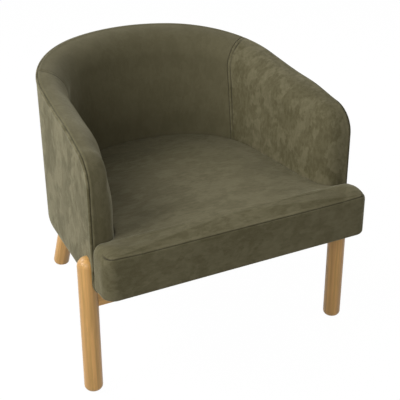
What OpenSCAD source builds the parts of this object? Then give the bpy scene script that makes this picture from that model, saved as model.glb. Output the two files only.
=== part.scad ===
// Tub chair: a round upholstered shell on four round oak legs, with a seat that
// reaches out past the fronts of the arms.
// Millimetres, +Z up, the seat faces -Y, origin on the floor under the middle.

/* [Overall] */
// Height of the outer edge of the back above the floor
back_h = 709; // [660:1:780]

/* [Tub shell] */
// Outer width of the shell where its straight sides start to curve
shell_w = 645; // [600:1:700]
// Depth of the shell at the rim, from the arm fronts to the back
shell_depth = 601; // [560:1:640]
// Angle by which each side opens towards the front
side_flare = 4.2; // [2:0.1:6]
// Outer radius of the two rear corners of the plan
corner_r = 270; // [220:1:300]
// Outer radius of the back of the plan
back_r = 437; // [400:1:520]
// Angle by which the outer face of the back leans back
outer_recline = 2.2; // [1:0.1:4]
// Angle by which the inner face of the back leans back
inner_recline = 5; // [4:0.1:8]
// Thickness of the padded wall at the rim
wall_t = 73; // [70:1:80]
// Slope of the rim, rising to the back
rim_slope = 10.2; // [6:0.1:13]
// Radius of the front top corner of each arm
rim_corner_r = 60; // [45:1:80]
// Radius of the crisp outer edge of the rim
outer_edge_r = 7; // [5:0.5:9]
// Radius of the soft inner edge of the rim
inner_edge_r = 58; // [50:1:60]
// Radius of the same edge at the foot of each arm front
nose_r = 46; // [38:1:54]
// Height of the underside of the shell above the floor
shell_underside_h = 277; // [270:1:286]
// Radius of the rounded lower edge of the shell
lower_edge_r = 32; // [24:1:36]
// Direction of the wall where the arm covers are sewn to the back covers
seam_turn = 27; // [20:1:40]

/* [Seat] */
// Distance by which each end of the seat stands out past the arm's outer face
seat_overhang = 3.4; // [1:0.2:8]
// Distance from the seat front to the arm fronts
arm_setback = 88; // [80:1:110]
// Height of the seat's underside above the floor
seat_underside_h = 311; // [306:1:318]
// Height of the seat's front band, up to its sewn edge
seat_band_h = 102; // [98:1:112]
// Height of the swell in the middle of the seat
seat_crown = 11; // [4:1:16]
// Radius of the seat's two front corners
seat_corner_r = 30; // [24:1:44]
// Radius of the seat's two rear corners, beside the arm fronts
seat_rear_r = 26; // [20:1:28]
// Radius of the sewn front edge of the seat
seat_front_edge_r = 7; // [5:0.5:10]
// Radius of the soft upper edge at the two ends of the seat
seat_end_edge_r = 24; // [16:1:28]
// Radius of the lower edge of the seat
seat_lower_edge_r = 8; // [6:1:12]
// Thickness of the seat foam at its edge
seat_foam_t = 58; // [50:1:64]

/* [Covers and padding] */
// Thickness of the cover fabric with its backing
cover_t = 2; // [1.5:0.1:2.5]
// Thickness of the thin padding on the seat's front rail
front_padding_t = 10; // [8:1:12]
// Thickness of the curved board behind the back
board_t = 4; // [3:0.5:5]
// Thickness of the padding over the frame along the rim
rim_padding_t = 5.4; // [4:0.2:8]
// Width of the cover's hem under the shell
hem_w = 24; // [18:1:28]
// Thickness of the cloth under the seat
dust_cloth_t = 1; // [0.6:0.1:1.5]

/* [Frame] */
// Thickness of the arm panels
arm_panel_t = 32; // [28:1:34]
// Thickness of the curved back rails
back_rail_t = 25.6; // [22:0.2:28]
// Height of the upper back rail
top_rail_h = 34; // [28:1:40]
// Width of the back posts
post_w = 42; // [30:1:50]
// Thickness of the straight seat rails
rail_t = 26; // [20:1:30]
// Width of the seat webbing
strap_w = 50; // [40:1:60]
// Thickness of the webbing
strap_t = 1.7; // [1.2:0.1:2.2]
// Number of straps that run from front to back
long_strap_count = 5; // [3:1:5]
// Number of straps that run from side to side
cross_strap_count = 4; // [3:1:4]

/* [Legs] */
// Diameter of the legs
leg_d = 45; // [40:1:50]
// Distance of the front legs' centres outside the shell's side faces
front_leg_out = 3.8; // [1:0.2:8]
// Distance from the seat front to the front leg centres
front_leg_setback = 119; // [114:1:135]
// Height of the domed tops of the legs
leg_top_h = 368; // [358:1:390]
// Radius of the rounded foot of each leg
foot_r = 13; // [8:1:16]
// Distance by which the rear feet reach out behind the rim of the back
rear_foot_out = 65; // [50:1:75]
// Distance between the rear feet, centre to centre
rear_foot_spacing = 396; // [380:1:410]
// Angle by which the rear legs splay
rear_splay = 15; // [12:0.5:16]
// Direction of the splay, from straight back towards the sides
rear_splay_turn = 25; // [20:1:30]
// Height of the cross rail between the front legs
cross_rail_h = 37; // [32:1:46]
// Thickness of the cross rail
cross_rail_t = 24; // [20:1:28]
// Diameter of the glides
glide_d = 15; // [12:1:20]
// Height of the glides below the legs
glide_h = 4; // [3:0.5:6]
// Diameter of the leg bolts
bolt_d = 8; // [6:1:8]

/* [Hidden] */
$fn = 72;
fabric_colour = "darkolivegreen";
oak_colour = "burlywood";
ply_colour = "tan";
foam_colour = "khaki";
steel_colour = "silver";
// Gap between a soft piece and its neighbour
soft_gap = 0.3;
// Gap between the two cover edges of a seam
seam_gap = 0.6;
// Overrun of cutting bodies
over = 4;
// Length of cutting bodies that pass through the whole chair
through = 2 * (shell_w + shell_depth + back_h);

// Places along the depth
overall_depth = arm_setback + shell_depth + rear_foot_out;
front_y = -overall_depth / 2;
arm_front_y = front_y + arm_setback;
back_y = arm_front_y + shell_depth;
front_leg_y = front_y + front_leg_setback;

// Plan of the shell: a back arc, two corner arcs and two straight sides
half_w = shell_w / 2;
corner_cx = half_w - corner_r * cos(side_flare);
centre_gap = back_r - corner_r;
join_turn = acos(corner_cx / centre_gap);
back_cy = back_y - back_r;
corner_cy = back_cy + centre_gap * sin(join_turn);
side_start_y = corner_cy + corner_r * sin(side_flare);
side_start_x = half_w;
degree_per_radian = 180 / PI;
back_run = back_r * (90 - join_turn) / degree_per_radian;
corner_run = corner_r * (join_turn - side_flare) / degree_per_radian;
side_run = (side_start_y - arm_front_y) / cos(side_flare);
side_start_run = back_run + corner_run;
front_run = side_start_run + side_run;
seam_run = back_run + corner_r * (join_turn - seam_turn) / degree_per_radian;

// Layers of the wall, as depths below the outer face
frame_depth = cover_t + soft_gap;
back_steps = 16;
bend_gap = corner_r * (1 - cos(seam_run / back_steps / corner_r * degree_per_radian));
board_depth = frame_depth + bend_gap;
board_inner_depth = board_depth + board_t;
rail_depth = board_inner_depth + soft_gap;
rail_inner_depth = rail_depth + back_rail_t;
webbing_depth = rail_inner_depth;
rim_frame_inset = frame_depth + rim_padding_t;

// Levels
seat_edge_h = seat_underside_h + seat_band_h;
deck_h = seat_edge_h - seat_foam_t;
cross_strap_h = deck_h - soft_gap - strap_t;
side_rail_top = cross_strap_h;
long_strap_h = cross_strap_h - soft_gap - strap_t;
rail_top = long_strap_h;
side_bottom_h = shell_underside_h + lower_edge_r;
frame_bottom_h = shell_underside_h + cover_t + soft_gap;
lower_edge_steps = 3;
lower_reach = (lower_edge_r - board_depth) * cos(45 / lower_edge_steps);
rail_foot_h = side_bottom_h - sqrt(pow(lower_reach, 2) - pow(lower_edge_r - rail_depth, 2)) + soft_gap;

// Direction of the wall's outward normal at a run along the plan, 90 at the middle of the back
function turn_at(run) =
    abs(run) < back_run ? 90 - abs(run) / back_r * degree_per_radian
    : abs(run) < side_start_run ? join_turn - (abs(run) - back_run) / corner_r * degree_per_radian
    : side_flare;

function plan_half(run) =
    run < back_run ? [back_r * cos(turn_at(run)), back_cy + back_r * sin(turn_at(run))]
    : run < side_start_run ? [corner_cx + corner_r * cos(turn_at(run)), corner_cy + corner_r * sin(turn_at(run))]
    : [side_start_x + (run - side_start_run) * sin(side_flare),
       side_start_y - (run - side_start_run) * cos(side_flare)];

function side_sign(run) = run < 0 ? -1 : 1;
function plan_at(run) = [side_sign(run) * plan_half(abs(run))[0], plan_half(abs(run))[1]];
function normal_at(run) = [side_sign(run) * cos(turn_at(run)), sin(turn_at(run))];

// How far the wall has moved forward at a height, outer and inner face
function outer_shift(z) = (back_h - z) * tan(outer_recline);
function inner_shift(z) = (back_h - z) * tan(inner_recline);
low_shift = outer_shift(frame_bottom_h);
foam_depth = frame_depth + arm_panel_t + low_shift * sin(side_flare) + soft_gap;

// The arm fronts stay upright and square to the middle line: this fades in from the seam
function front_share(run) =
    abs(run) <= seam_run ? 0
    : abs(run) >= side_start_run ? 1
    : (abs(run) - seam_run) / (side_start_run - seam_run);

// A point of the wall: run along the plan, height, depth below the outer face,
// 0 to 1 from the outer to the inner face, and 0 to 1 for the tilt of the rim
function wall_at(run, z, depth, inner, tilt) =
    let (shift = outer_shift(z) * (1 - inner) + inner_shift(z) * inner)
    let (kept = front_share(run))
    let (true_run = run - side_sign(run) * kept * (shift + depth * sin(side_flare)) / cos(side_flare))
    let (n = normal_at(true_run))
    let (p = plan_at(true_run) - depth * n)
    [p[0], p[1] - shift, z - tilt * (1 - kept) * tan(rim_slope) * n[1] * depth];

// Rim line of the shell and its slope in the unrolled wall
function rim_h(run) = back_h - tan(rim_slope) * (back_y - plan_half(abs(run))[1]);
function rim_angle(run) = atan(tan(rim_slope) * cos(turn_at(run)));

// Stations along the edge of the unrolled wall: run, height, the direction into the wall and
// the radius of the soft inner edge there
function rim_station(run) =
    [run, rim_h(run), -side_sign(run) * sin(rim_angle(run)), -cos(rim_angle(run)), inner_edge_r];
arm_corner_run = front_run - rim_corner_r;
arm_corner_h = rim_h(arm_corner_run) - rim_corner_r / cos(rim_angle(arm_corner_run));
arm_corner_sweep = 90 - rim_angle(arm_corner_run);
function corner_station(angle) =
    [arm_corner_run + rim_corner_r * cos(angle), arm_corner_h + rim_corner_r * sin(angle),
     -cos(angle), -sin(angle), inner_edge_r];
function nose_at(z) =
    mix(nose_r, inner_edge_r, max(0, min(1, (z - seat_edge_h) / (arm_corner_h - seat_edge_h))));
function front_station(z) = [front_run, z, -1, 0, nose_at(z)];

function spread(from, to, count) = [for (i = [0 : count]) from + (to - from) * i / count];
function tail(list) = [for (i = [1 : len(list) - 1]) list[i]];
function mix(a, b, share) = a + (b - a) * share;

corner_steps = 4;
side_steps = 3;
turn_steps = 4;
arm_rim_runs = concat(
    spread(arm_corner_run + rim_corner_r * cos(arm_corner_sweep), side_start_run, side_steps),
    tail(spread(side_start_run, seam_run + seam_gap / 2, turn_steps)));

// Stations of one arm from the foot of its front edge, over the corner, to the seam
function arm_stations(front_heights) = concat(
    [for (z = front_heights) front_station(z)],
    [for (angle = tail(spread(0, arm_corner_sweep, corner_steps))) corner_station(angle)],
    [for (run = tail(arm_rim_runs)) rim_station(run)]);
back_stations = [for (run = spread(seam_run, -seam_run, back_steps))
    rim_station(run * (1 - seam_gap / 2 / seam_run))];

// Where each arm station's line down the wall ends: near the front edge while the station
// is lower than the level, then along the level towards the seam
function arm_targets(stations, level, inset) =
    let (above = [for (s = stations) if (s[1] > level || s[0] < front_run) 1])
    let (low = len(stations) - len(above))
    let (first = front_run - inset)
    let (fan = len(above) - turn_steps)
    [for (i = [0 : len(stations) - 1])
        i < low ? [first, stations[i][1]]
        : i < low + fan ? [mix(first, side_start_run, (i - low + 1) / fan), level]
        : [stations[i][0], level]];

// Section of the rim, in depth and inset from the rim line, for a layer that far below the surface
outer_edge_steps = 3;
inner_edge_steps = 4;
function outer_edge(layer) = [for (angle = spread(0, 90, outer_edge_steps))
    [outer_edge_r - (outer_edge_r - layer) * cos(angle), outer_edge_r - (outer_edge_r - layer) * sin(angle)]];
function inner_edge(layer, r) = [for (angle = spread(90, 0, inner_edge_steps))
    [wall_t - r + (r - layer) * cos(angle), r - (r - layer) * sin(angle)]];
function rim_section(layer, r) = concat(outer_edge(layer), inner_edge(layer, r));
section_last = outer_edge_steps + inner_edge_steps + 1;

// The rounded lower edge draws the arm front in as it comes down
function lower_draw(z, layer) =
    z >= side_bottom_h ? 0
    : lower_edge_r - layer - sqrt(max(0, pow(lower_edge_r - layer, 2) - pow(side_bottom_h - z, 2)));

// Grid rows: one row of points for each point of the rim section, then rows down the wall face.
// A face row starts at an inset that goes from its base to the radius of the inner edge
function section_point(s, depth, inset, layer) =
    let (z = s[1] + inset * s[3])
    let (drawn = depth + lower_draw(z, layer) * (1 - depth / wall_t))
    wall_at(s[0] + inset * s[2], z, drawn, depth / wall_t, 1);
function section_row(stations, place, layer) = [for (s = stations)
    let (p = rim_section(layer, s[4])[place])
    section_point(s, p[0], p[1], layer)];
function face_row(stations, targets, depth, base, blend, inner, share, layer) =
    [for (i = [0 : len(stations) - 1])
        let (s = stations[i])
        let (inset = mix(base, s[4], blend))
        let (run = mix(s[0] + inset * s[2], targets[i][0], share))
        let (z = mix(s[1] + inset * s[3], targets[i][1], share))
        let (drawn = depth + lower_draw(z, layer) * (1 - depth / wall_t))
        wall_at(run, z, drawn, inner, 1 - share)];

// Solid between two grids of points with the same rows and columns
module thick_patch(upper, lower) {
    rows = len(upper);
    cols = len(upper[0]);
    below = rows * cols;
    points = concat([for (row = upper) each row], [for (row = lower) each row]);
    skin = [for (r = [0 : rows - 2], c = [0 : cols - 2])
        let (p = r * cols + c)
        each [[p + cols + 1, p + 1, p], [p + cols, p + cols + 1, p]]];
    back = [for (face = skin) [face[2] + below, face[1] + below, face[0] + below]];
    row_walls = [for (c = [0 : cols - 2])
        let (e = (rows - 1) * cols + c)
        each [[c + below, c, c + 1], [c + 1 + below, c + below, c + 1],
              [e + 1 + below, e + 1, e], [e + below, e + 1 + below, e]]];
    col_walls = [for (r = [0 : rows - 2])
        let (s = r * cols)
        let (t = s + cols)
        let (u = s + cols - 1)
        let (v = u + cols)
        each [[t + below, t, s + below], [t, s, s + below],
              [u + below, u, v], [v + below, u + below, v]]];
    polyhedron(points, concat(skin, back, row_walls, col_walls), convexity = 8);
}

// Inside cover and foam grids
face_steps = 2;
function inside_rows(stations, targets, layer) = concat(
    [for (place = [0 : section_last]) section_row(stations, place, layer)],
    [for (i = [1 : face_steps])
        face_row(stations, targets, wall_t - layer, 0, 1, 1, i / face_steps, layer)]);

// The side of the foam that lies on the frame, row for row with its outer side
bed_inset = rim_frame_inset - soft_gap;
function foam_bed_rows(stations, targets) = concat(
    [for (i = [0 : outer_edge_steps])
        let (depth = mix(2 * frame_depth, foam_depth / 2, i / outer_edge_steps))
        [for (s = stations) section_point(s, depth, bed_inset, frame_depth)]],
    [for (i = [0 : inner_edge_steps])
        face_row(stations, targets, foam_depth, bed_inset, i / inner_edge_steps, 0, 0, frame_depth)],
    [for (i = [1 : face_steps])
        face_row(stations, targets, foam_depth, 0, 1, 0, i / face_steps, frame_depth)]);

arm_front_heights = [
    shell_underside_h + lower_edge_r / 6,
    shell_underside_h + lower_edge_r / 2,
    side_bottom_h,
    deck_h,
    mix(deck_h, arm_corner_h, 0.5),
    arm_corner_h
];
strip_inset = nose_r + soft_gap + cover_t;

module inside_arm_cover() {
    stations = arm_stations(arm_front_heights);
    targets = arm_targets(stations, deck_h + soft_gap, strip_inset);
    thick_patch(inside_rows(stations, targets, 0), inside_rows(stations, targets, cover_t));
}

module arm_foam() {
    heights = [for (z = arm_front_heights) if (z > shell_underside_h + lower_edge_r / 4) z];
    stations = arm_stations(heights);
    targets = arm_targets(stations, deck_h + soft_gap, strip_inset);
    thick_patch(inside_rows(stations, targets, frame_depth), foam_bed_rows(stations, targets));
}

back_targets = [for (s = back_stations) [s[0], deck_h + soft_gap]];

module inside_back_cover() {
    color(fabric_colour)
        thick_patch(inside_rows(back_stations, back_targets, 0),
                    inside_rows(back_stations, back_targets, cover_t));
}

module back_foam() {
    color(foam_colour)
        thick_patch(inside_rows(back_stations, back_targets, frame_depth),
                    foam_bed_rows(back_stations, back_targets));
}

// Outside covers: down the outer face, round the lower edge and under the frame
function outside_rows(stations, targets, layer) = concat(
    [for (share = [0, 1])
        face_row(stations, targets, layer, outer_edge_r + seam_gap, 0, 0, share, 0)],
    [for (angle = tail(spread(0, 90, lower_edge_steps)))
        [for (t = targets)
            wall_at(t[0], side_bottom_h - (lower_edge_r - layer) * sin(angle),
                lower_edge_r - (lower_edge_r - layer) * cos(angle), 0, 0)]],
    [[for (t = targets) wall_at(t[0], shell_underside_h + layer, lower_edge_r + hem_w, 0, 0)]]);

module outside_arm_cover() {
    stations = arm_stations([for (z = arm_front_heights) if (z >= side_bottom_h) z]);
    targets = arm_targets(stations, side_bottom_h, outer_edge_r + seam_gap + cover_t);
    thick_patch(outside_rows(stations, targets, cover_t), outside_rows(stations, targets, 0));
}

module outside_back_cover() {
    targets = [for (s = back_stations) [s[0], side_bottom_h]];
    color(fabric_colour)
        difference() {
            thick_patch(outside_rows(back_stations, targets, cover_t),
                        outside_rows(back_stations, targets, 0));
            both_sides()
                rear_bolt_axes() bolt_hole(rear_bolt_seat);
        }
}

// Loop of the seat's outline, right half from the middle of the front to the middle of the back.
// Each key holds a kind and a place, the radius of the upper edge and the level of the lower edge
seat_half_w = half_w + side_run * sin(side_flare) + seat_overhang;
front_bottom = seat_underside_h;
tucked_bottom = deck_h + cover_t + soft_gap;
tucked_edge_r = seat_front_edge_r;
function front_keys() = concat(
    [for (share = [0, 0.33, 0.67]) [0, share, seat_front_edge_r, front_bottom]],
    [for (i = [0 : 3]) [1, -90 + 30 * i, mix(seat_front_edge_r, seat_end_edge_r, i / 3), front_bottom]],
    [[2, 0.5, seat_end_edge_r, front_bottom]],
    [for (i = [0 : 3]) [3, 30 * i, mix(seat_end_edge_r, tucked_edge_r, i / 4), front_bottom]]);
function tucked_keys() = concat(
    [for (i = [0 : inner_edge_steps]) [4, 90 * (1 - i / inner_edge_steps), tucked_edge_r,
        i < 2 ? front_bottom : tucked_bottom]],
    [for (run = concat([mix(front_run, side_start_run, 0.5)],
            [for (i = [side_steps : side_steps + turn_steps - 1]) arm_rim_runs[i]],
            [for (i = [0 : back_steps / 2]) back_stations[i][0]]))
        [5, run, tucked_edge_r, tucked_bottom]]);
right_keys = concat(front_keys(), tucked_keys());

seat_rear_y = arm_front_y - soft_gap;
function round_corner(x, y, way, r, inset, angle) =
    let (left = max(r - inset, seam_gap))
    [x - inset - left + left * cos(angle), y - way * (inset + left) + left * sin(angle)];
function nose_point(angle, reach) =
    [wall_t - nose_r + (nose_r + reach) * cos(angle), nose_r - (nose_r + reach) * sin(angle)];
function seat_plan_point(key, inset) =
    key[0] == 0 ? [key[1] * (seat_half_w - seat_corner_r), front_y + inset]
    : key[0] == 1 ? round_corner(seat_half_w, front_y, -1, seat_corner_r, inset, key[1])
    : key[0] == 2 ? [seat_half_w - inset, mix(front_y + seat_corner_r, seat_rear_y - seat_rear_r, key[1])]
    : round_corner(seat_half_w, seat_rear_y, 1, seat_rear_r, inset, key[1]);
function seat_point(key, z, inset) =
    key[0] == 4 ? let (p = nose_point(key[1], soft_gap + inset))
                  wall_at(front_run - p[1], z, p[0], min(1, p[0] / wall_t), 0)
    : key[0] == 5 ? wall_at(key[1], z, wall_t + soft_gap + inset, 1, 0)
    : let (p = seat_plan_point(key, inset)) [p[0], p[1], z];
function mirrored(p) = [-p[0], p[1], p[2]];
function whole_loop(right) = concat(right, [for (i = [len(right) - 2 : -1 : 1]) mirrored(right[i])]);

// Rings of the seat's surface at a layer below the cover's outer side
seat_middle = [0, front_y + arm_setback * 0.6];
function seat_top_ring(layer, share) = whole_loop([for (key = right_keys)
    let (edge = seat_point(key, seat_edge_h - layer, max(key[2], layer)))
    [mix(seat_middle[0], edge[0], share), mix(seat_middle[1], edge[1], share),
     edge[2] + seat_crown * (1 - share * share)]]);
function seat_edge_ring(layer, angle) = whole_loop([for (key = right_keys)
    let (r = key[2])
    seat_point(key, seat_edge_h - r + (r - layer) * sin(angle), r - (r - layer) * cos(angle))]);
function seat_side_ring(layer, angle) = whole_loop([for (key = right_keys)
    let (r = seat_lower_edge_r)
    key[3] == front_bottom
        ? seat_point(key, front_bottom + r - (r - layer) * sin(angle), r - (r - layer) * cos(angle))
        : seat_point(key, key[3] + r * (1 - angle / 180), layer)]);
function seat_hem_ring(layer) = whole_loop([for (key = right_keys)
    key[3] == front_bottom
        ? seat_point(key, front_bottom + layer, seat_lower_edge_r + (key[0] == 4 ? cover_t : hem_w))
        : seat_point(key, key[3], layer)]);
function seat_flat_ring(z, inset) = whole_loop([for (key = right_keys) seat_point(key, z, inset)]);

// Closed solid from rings of points with an apex at each end
module ring_solid(top, rings, bottom) {
    count = len(rings[0]);
    last = len(rings) * count;
    points = concat([for (ring = rings) each ring], [top, bottom]);
    sides = [for (r = [0 : len(rings) - 2], c = [0 : count - 1])
        let (a = r * count + c)
        let (b = r * count + (c + 1) % count)
        each [[a, b, b + count], [a, b + count, a + count]]];
    caps = [for (c = [0 : count - 1])
        let (d = (c + 1) % count)
        each [[last, d, c], [last + 1, last - count + c, last - count + d]]];
    polyhedron(points, concat(sides, caps), convexity = 8);
}

module seat_foam() {
    layer = frame_depth + seam_gap;
    rings = concat(
        [for (share = [0.35, 0.7, 1]) seat_top_ring(layer, share)],
        [for (angle = [45, 0]) seat_edge_ring(layer, angle)],
        [seat_flat_ring(deck_h, layer)]);
    color(foam_colour)
        ring_solid([seat_middle[0], seat_middle[1], seat_edge_h + seat_crown - layer], rings,
                   [seat_middle[0], seat_middle[1], deck_h]);
}

module seat_cover() {
    outer = concat(
        [for (share = [0.35, 0.7, 1]) seat_top_ring(0, share)],
        [for (angle = [60, 30, 0]) seat_edge_ring(0, angle)],
        [for (angle = [0, 45, 90]) seat_side_ring(0, angle)],
        [seat_hem_ring(0)]);
    inner = concat(
        [seat_hem_ring(cover_t)],
        [for (angle = [90, 45, 0]) seat_side_ring(cover_t, angle)],
        [for (angle = [0, 45]) seat_edge_ring(cover_t, angle)],
        [for (share = [1, 0.7, 0.35]) seat_top_ring(cover_t, share)]);
    peak = seat_edge_h + seat_crown;
    color(fabric_colour)
        ring_solid([seat_middle[0], seat_middle[1], peak], concat(outer, inner),
                   [seat_middle[0], seat_middle[1], peak - cover_t]);
}

// Filled plan of the shell at a depth below its outer face
module plan_fill(depth) {
    back_reach = back_r + over;
    side_in = corner_r - depth;
    for (side = [-1, 1])
        translate([side * corner_cx, corner_cy])
            circle(r = side_in, $fn = 180);
    intersection() {
        translate([0, back_cy])
            circle(r = back_r - depth, $fn = 360);
        polygon([[0, back_cy],
                 [back_reach * 2 * cos(join_turn), back_cy + back_reach * 2 * sin(join_turn)],
                 [-back_reach * 2 * cos(join_turn), back_cy + back_reach * 2 * sin(join_turn)]]);
    }
    join = [corner_cx + side_in * cos(join_turn), corner_cy + side_in * sin(join_turn)];
    start = [corner_cx + side_in * cos(side_flare), corner_cy + side_in * sin(side_flare)];
    front = start + shell_depth * [sin(side_flare), -cos(side_flare)];
    polygon([front, start, join, [-join[0], join[1]], [-start[0], start[1]], [-front[0], front[1]]]);
}

// Curved band between two depths, from one straight side round the back to the other
module back_band(outer_depth, inner_depth, cut_back = 0) {
    intersection() {
        difference() {
            plan_fill(outer_depth);
            plan_fill(inner_depth);
        }
        behind_side(cut_back);
        mirror([1, 0]) behind_side(cut_back);
    }
}

module behind_side(cut_back) {
    translate([side_start_x, side_start_y])
        rotate(side_flare)
            translate([-through, cut_back])
                square([2 * through, through]);
}

// Leans an upright body back with the outer face of the shell
module leaned() {
    translate([0, back_y, back_h])
        rotate([-outer_recline, 0, 0])
            translate([0, -back_y, -back_h])
                children();
}

module leaned_prism() {
    leaned()
        translate([0, 0, -over])
            linear_extrude(back_h + 2 * over)
                children();
}

module slab(from, to) {
    translate([-through / 2, -through / 2, from])
        cube([through, through, to - from]);
}

// Everything below a plane that lies an inset under the rim
module under_rim(inset) {
    translate([0, back_y, back_h])
        rotate([rim_slope, 0, 0])
            translate([-through / 2, -through, -through / 2 - inset])
                cube([through, through + over + shell_w, through / 2]);
}

// Frame of the straight right side: X runs forward along it, Y up, Z into the wall
side_origin = [side_start_x, side_start_y - low_shift];
function along_side(y) = (side_origin[1] - y) / cos(side_flare);
module side_frame(depth) {
    translate([side_origin[0] - depth * cos(side_flare), side_origin[1] - depth * sin(side_flare), 0])
        rotate([90, 0, side_flare - 90])
            children();
}
function side_rear(z) = (outer_shift(z) - low_shift) / cos(side_flare) + seam_gap;

// Legs
front_leg_x = side_origin[0]
    + (front_leg_out + (side_origin[1] - front_leg_y) * sin(side_flare)) / cos(side_flare);
leg_r = leg_d / 2;
lap_gap = 0.4;
joint_gap = 0.1;
bolt_shares = [0.32, 0.78];
bolt_levels = [for (share = bolt_shares) mix(rail_foot_h, rail_top, share)];
head_d = 1.6 * bolt_d;
head_h = 0.65 * bolt_d;
washer_d = 2.2 * bolt_d;
washer_t = 0.2 * bolt_d;
recess_depth = head_h + washer_t + joint_gap * 10;
bolt_reach = leg_r * 0.68;
insert_d = 1.5 * bolt_d;
insert_h = bolt_reach - lap_gap * 2;
front_bolt_seat = frame_depth + arm_panel_t - recess_depth;
rear_bolt_seat = rail_inner_depth - recess_depth;

module leg_profile(length) {
    intersection() {
        union() {
            translate([0, foot_r])
                square([leg_r, length - foot_r - leg_r]);
            square([leg_r - foot_r, length - leg_r]);
            translate([leg_r - foot_r, foot_r])
                circle(foot_r);
            translate([0, length - leg_r])
                circle(leg_r);
        }
        square([leg_r, length]);
    }
}

// Axis of a bolt: origin on the leg's centre line, Z pointing out of the shell
module front_bolt_axes() {
    for (level = bolt_levels)
        translate([front_leg_x, front_leg_y, level])
            rotate([0, 90, side_flare])
                children();
}

rear_foot_x = rear_foot_spacing / 2;
rear_axis_turn = -90 - rear_splay_turn;
rear_axis_y = sin(rear_splay) * sin(rear_axis_turn);
rear_foot_reach = foot_r * (1 + rear_axis_y) + (leg_r - foot_r) * sqrt(1 - rear_axis_y * rear_axis_y);
rear_foot_y = overall_depth / 2 - rear_foot_reach;
function rear_leg_at(z) = [
    rear_foot_x + z * tan(rear_splay) * cos(rear_axis_turn),
    rear_foot_y + z * tan(rear_splay) * sin(rear_axis_turn)];

// Run along the plan at which the wall faces the rear leg, found in a few steps
function rear_leg_turn(level) =
    let (p = rear_leg_at(level) + [0, outer_shift(level)])
    atan2(p[1] - back_cy, p[0]);
function run_of_turn(turn) = turn > join_turn
    ? (90 - turn) / degree_per_radian * back_r
    : back_run + (join_turn - turn) / degree_per_radian * corner_r;
function rear_leg_run(level) = run_of_turn(rear_leg_turn(level));

module rear_bolt_axes() {
    for (level = bolt_levels) {
        p = wall_at(rear_leg_run(level), level, 0, 0, 0);
        translate([p[0], p[1], level])
            rotate([0, 90, rear_leg_turn(level)])
                children();
    }
}

module on_rear_foot() {
    translate([rear_foot_x, rear_foot_y, 0])
        rotate([0, rear_splay, rear_axis_turn])
            children();
}

// Body that takes the room of the shell's side, with its rounded lower edge
module side_room() {
    side_frame(0)
        translate([along_side(front_leg_y) - leg_d, 0, 0])
            rotate([0, 90, 0])
                linear_extrude(2 * leg_d)
                    union() {
                        translate([-wall_t, side_bottom_h])
                            square([wall_t + lap_gap, leg_top_h]);
                        translate([-lower_edge_r, side_bottom_h])
                            circle(lower_edge_r + lap_gap);
                        translate([-wall_t, shell_underside_h - lap_gap])
                            square([wall_t - lower_edge_r, side_bottom_h - shell_underside_h + 2 * lap_gap]);
                    }
}

tenon_l = leg_r * 0.6;
tenon_h = cross_rail_h * 0.7;
tenon_t = cross_rail_t * 0.5;
cross_rail_top = shell_underside_h - dust_cloth_t - soft_gap;
module cross_rail_tenon(gap) {
    translate([-front_leg_x + leg_r - tenon_l - gap, front_leg_y - tenon_t / 2 - gap,
               cross_rail_top - cross_rail_h / 2 - tenon_h / 2 - gap])
        cube([2 * (front_leg_x - leg_r + tenon_l + gap), tenon_t + 2 * gap, tenon_h + 2 * gap]);
}

module front_leg() {
    difference() {
        translate([front_leg_x, front_leg_y, glide_h])
            rotate_extrude()
                leg_profile(leg_top_h - glide_h);
        side_room();
        cross_rail_tenon(joint_gap);
        front_bolt_axes()
            translate([0, 0, -front_leg_out - over])
                cylinder(d = insert_d, h = bolt_reach + over);
        glide_pin(front_leg_x, front_leg_y);
    }
}

// The shell's surface round the rear leg, as a body that is cut from the leg
module rear_room() {
    stations = [for (run = spread(rear_leg_run(shell_underside_h) + leg_d,
                                  rear_leg_run(shell_underside_h) - leg_d, 6)) rim_station(run)];
    targets = [for (s = stations) [s[0], side_bottom_h]];
    outer = outside_rows(stations, targets, -lap_gap);
    deep = concat(
        [for (share = [0, 1])
            face_row(stations, targets, wall_t * 0.8, outer_edge_r + seam_gap, 0, 0, share, 0)],
        [for (angle = tail(spread(0, 90, lower_edge_steps)))
            [for (t = targets)
                wall_at(t[0], side_bottom_h - lower_edge_r * 0.5 * sin(angle), wall_t * 0.8, 0, 0)]],
        [[for (t = targets) wall_at(t[0], side_bottom_h - lower_edge_r * 0.8, wall_t * 0.9, 0, 0)]]);
    thick_patch(deep, outer);
}

module rear_leg() {
    difference() {
        on_rear_foot()
            rotate_extrude()
                leg_profile((leg_top_h - leg_r) / cos(rear_splay) + leg_r);
        rear_room();
        slab(-leg_d, glide_h);
        rear_bolt_axes()
            translate([0, 0, -over])
                cylinder(d = insert_d, h = bolt_reach + over);
        glide_pin(rear_foot_x + glide_h * tan(rear_splay) * cos(rear_axis_turn),
                  rear_foot_y + glide_h * tan(rear_splay) * sin(rear_axis_turn));
    }
}

module front_leg_right() { color(oak_colour) front_leg(); }
module front_leg_left() { color(oak_colour) mirror([1, 0, 0]) front_leg(); }
module rear_leg_right() { color(oak_colour) rear_leg(); }
module rear_leg_left() { color(oak_colour) mirror([1, 0, 0]) rear_leg(); }

glide_pin_d = glide_d * 0.27;
glide_pin_h = glide_h * 4;
module glide_pin(x, y) {
    translate([x, y, 0])
        cylinder(d = glide_pin_d, h = glide_h + glide_pin_h);
}

module glide(x, y) {
    lip = glide_h / 4;
    translate([x, y, 0])
        rotate_extrude()
            polygon([[0, 0], [glide_d / 2 - lip, 0], [glide_d / 2, lip], [glide_d / 2, glide_h],
                     [glide_pin_d / 2, glide_h], [glide_pin_d / 2, glide_h + glide_pin_h],
                     [0, glide_h + glide_pin_h]]);
}

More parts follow.
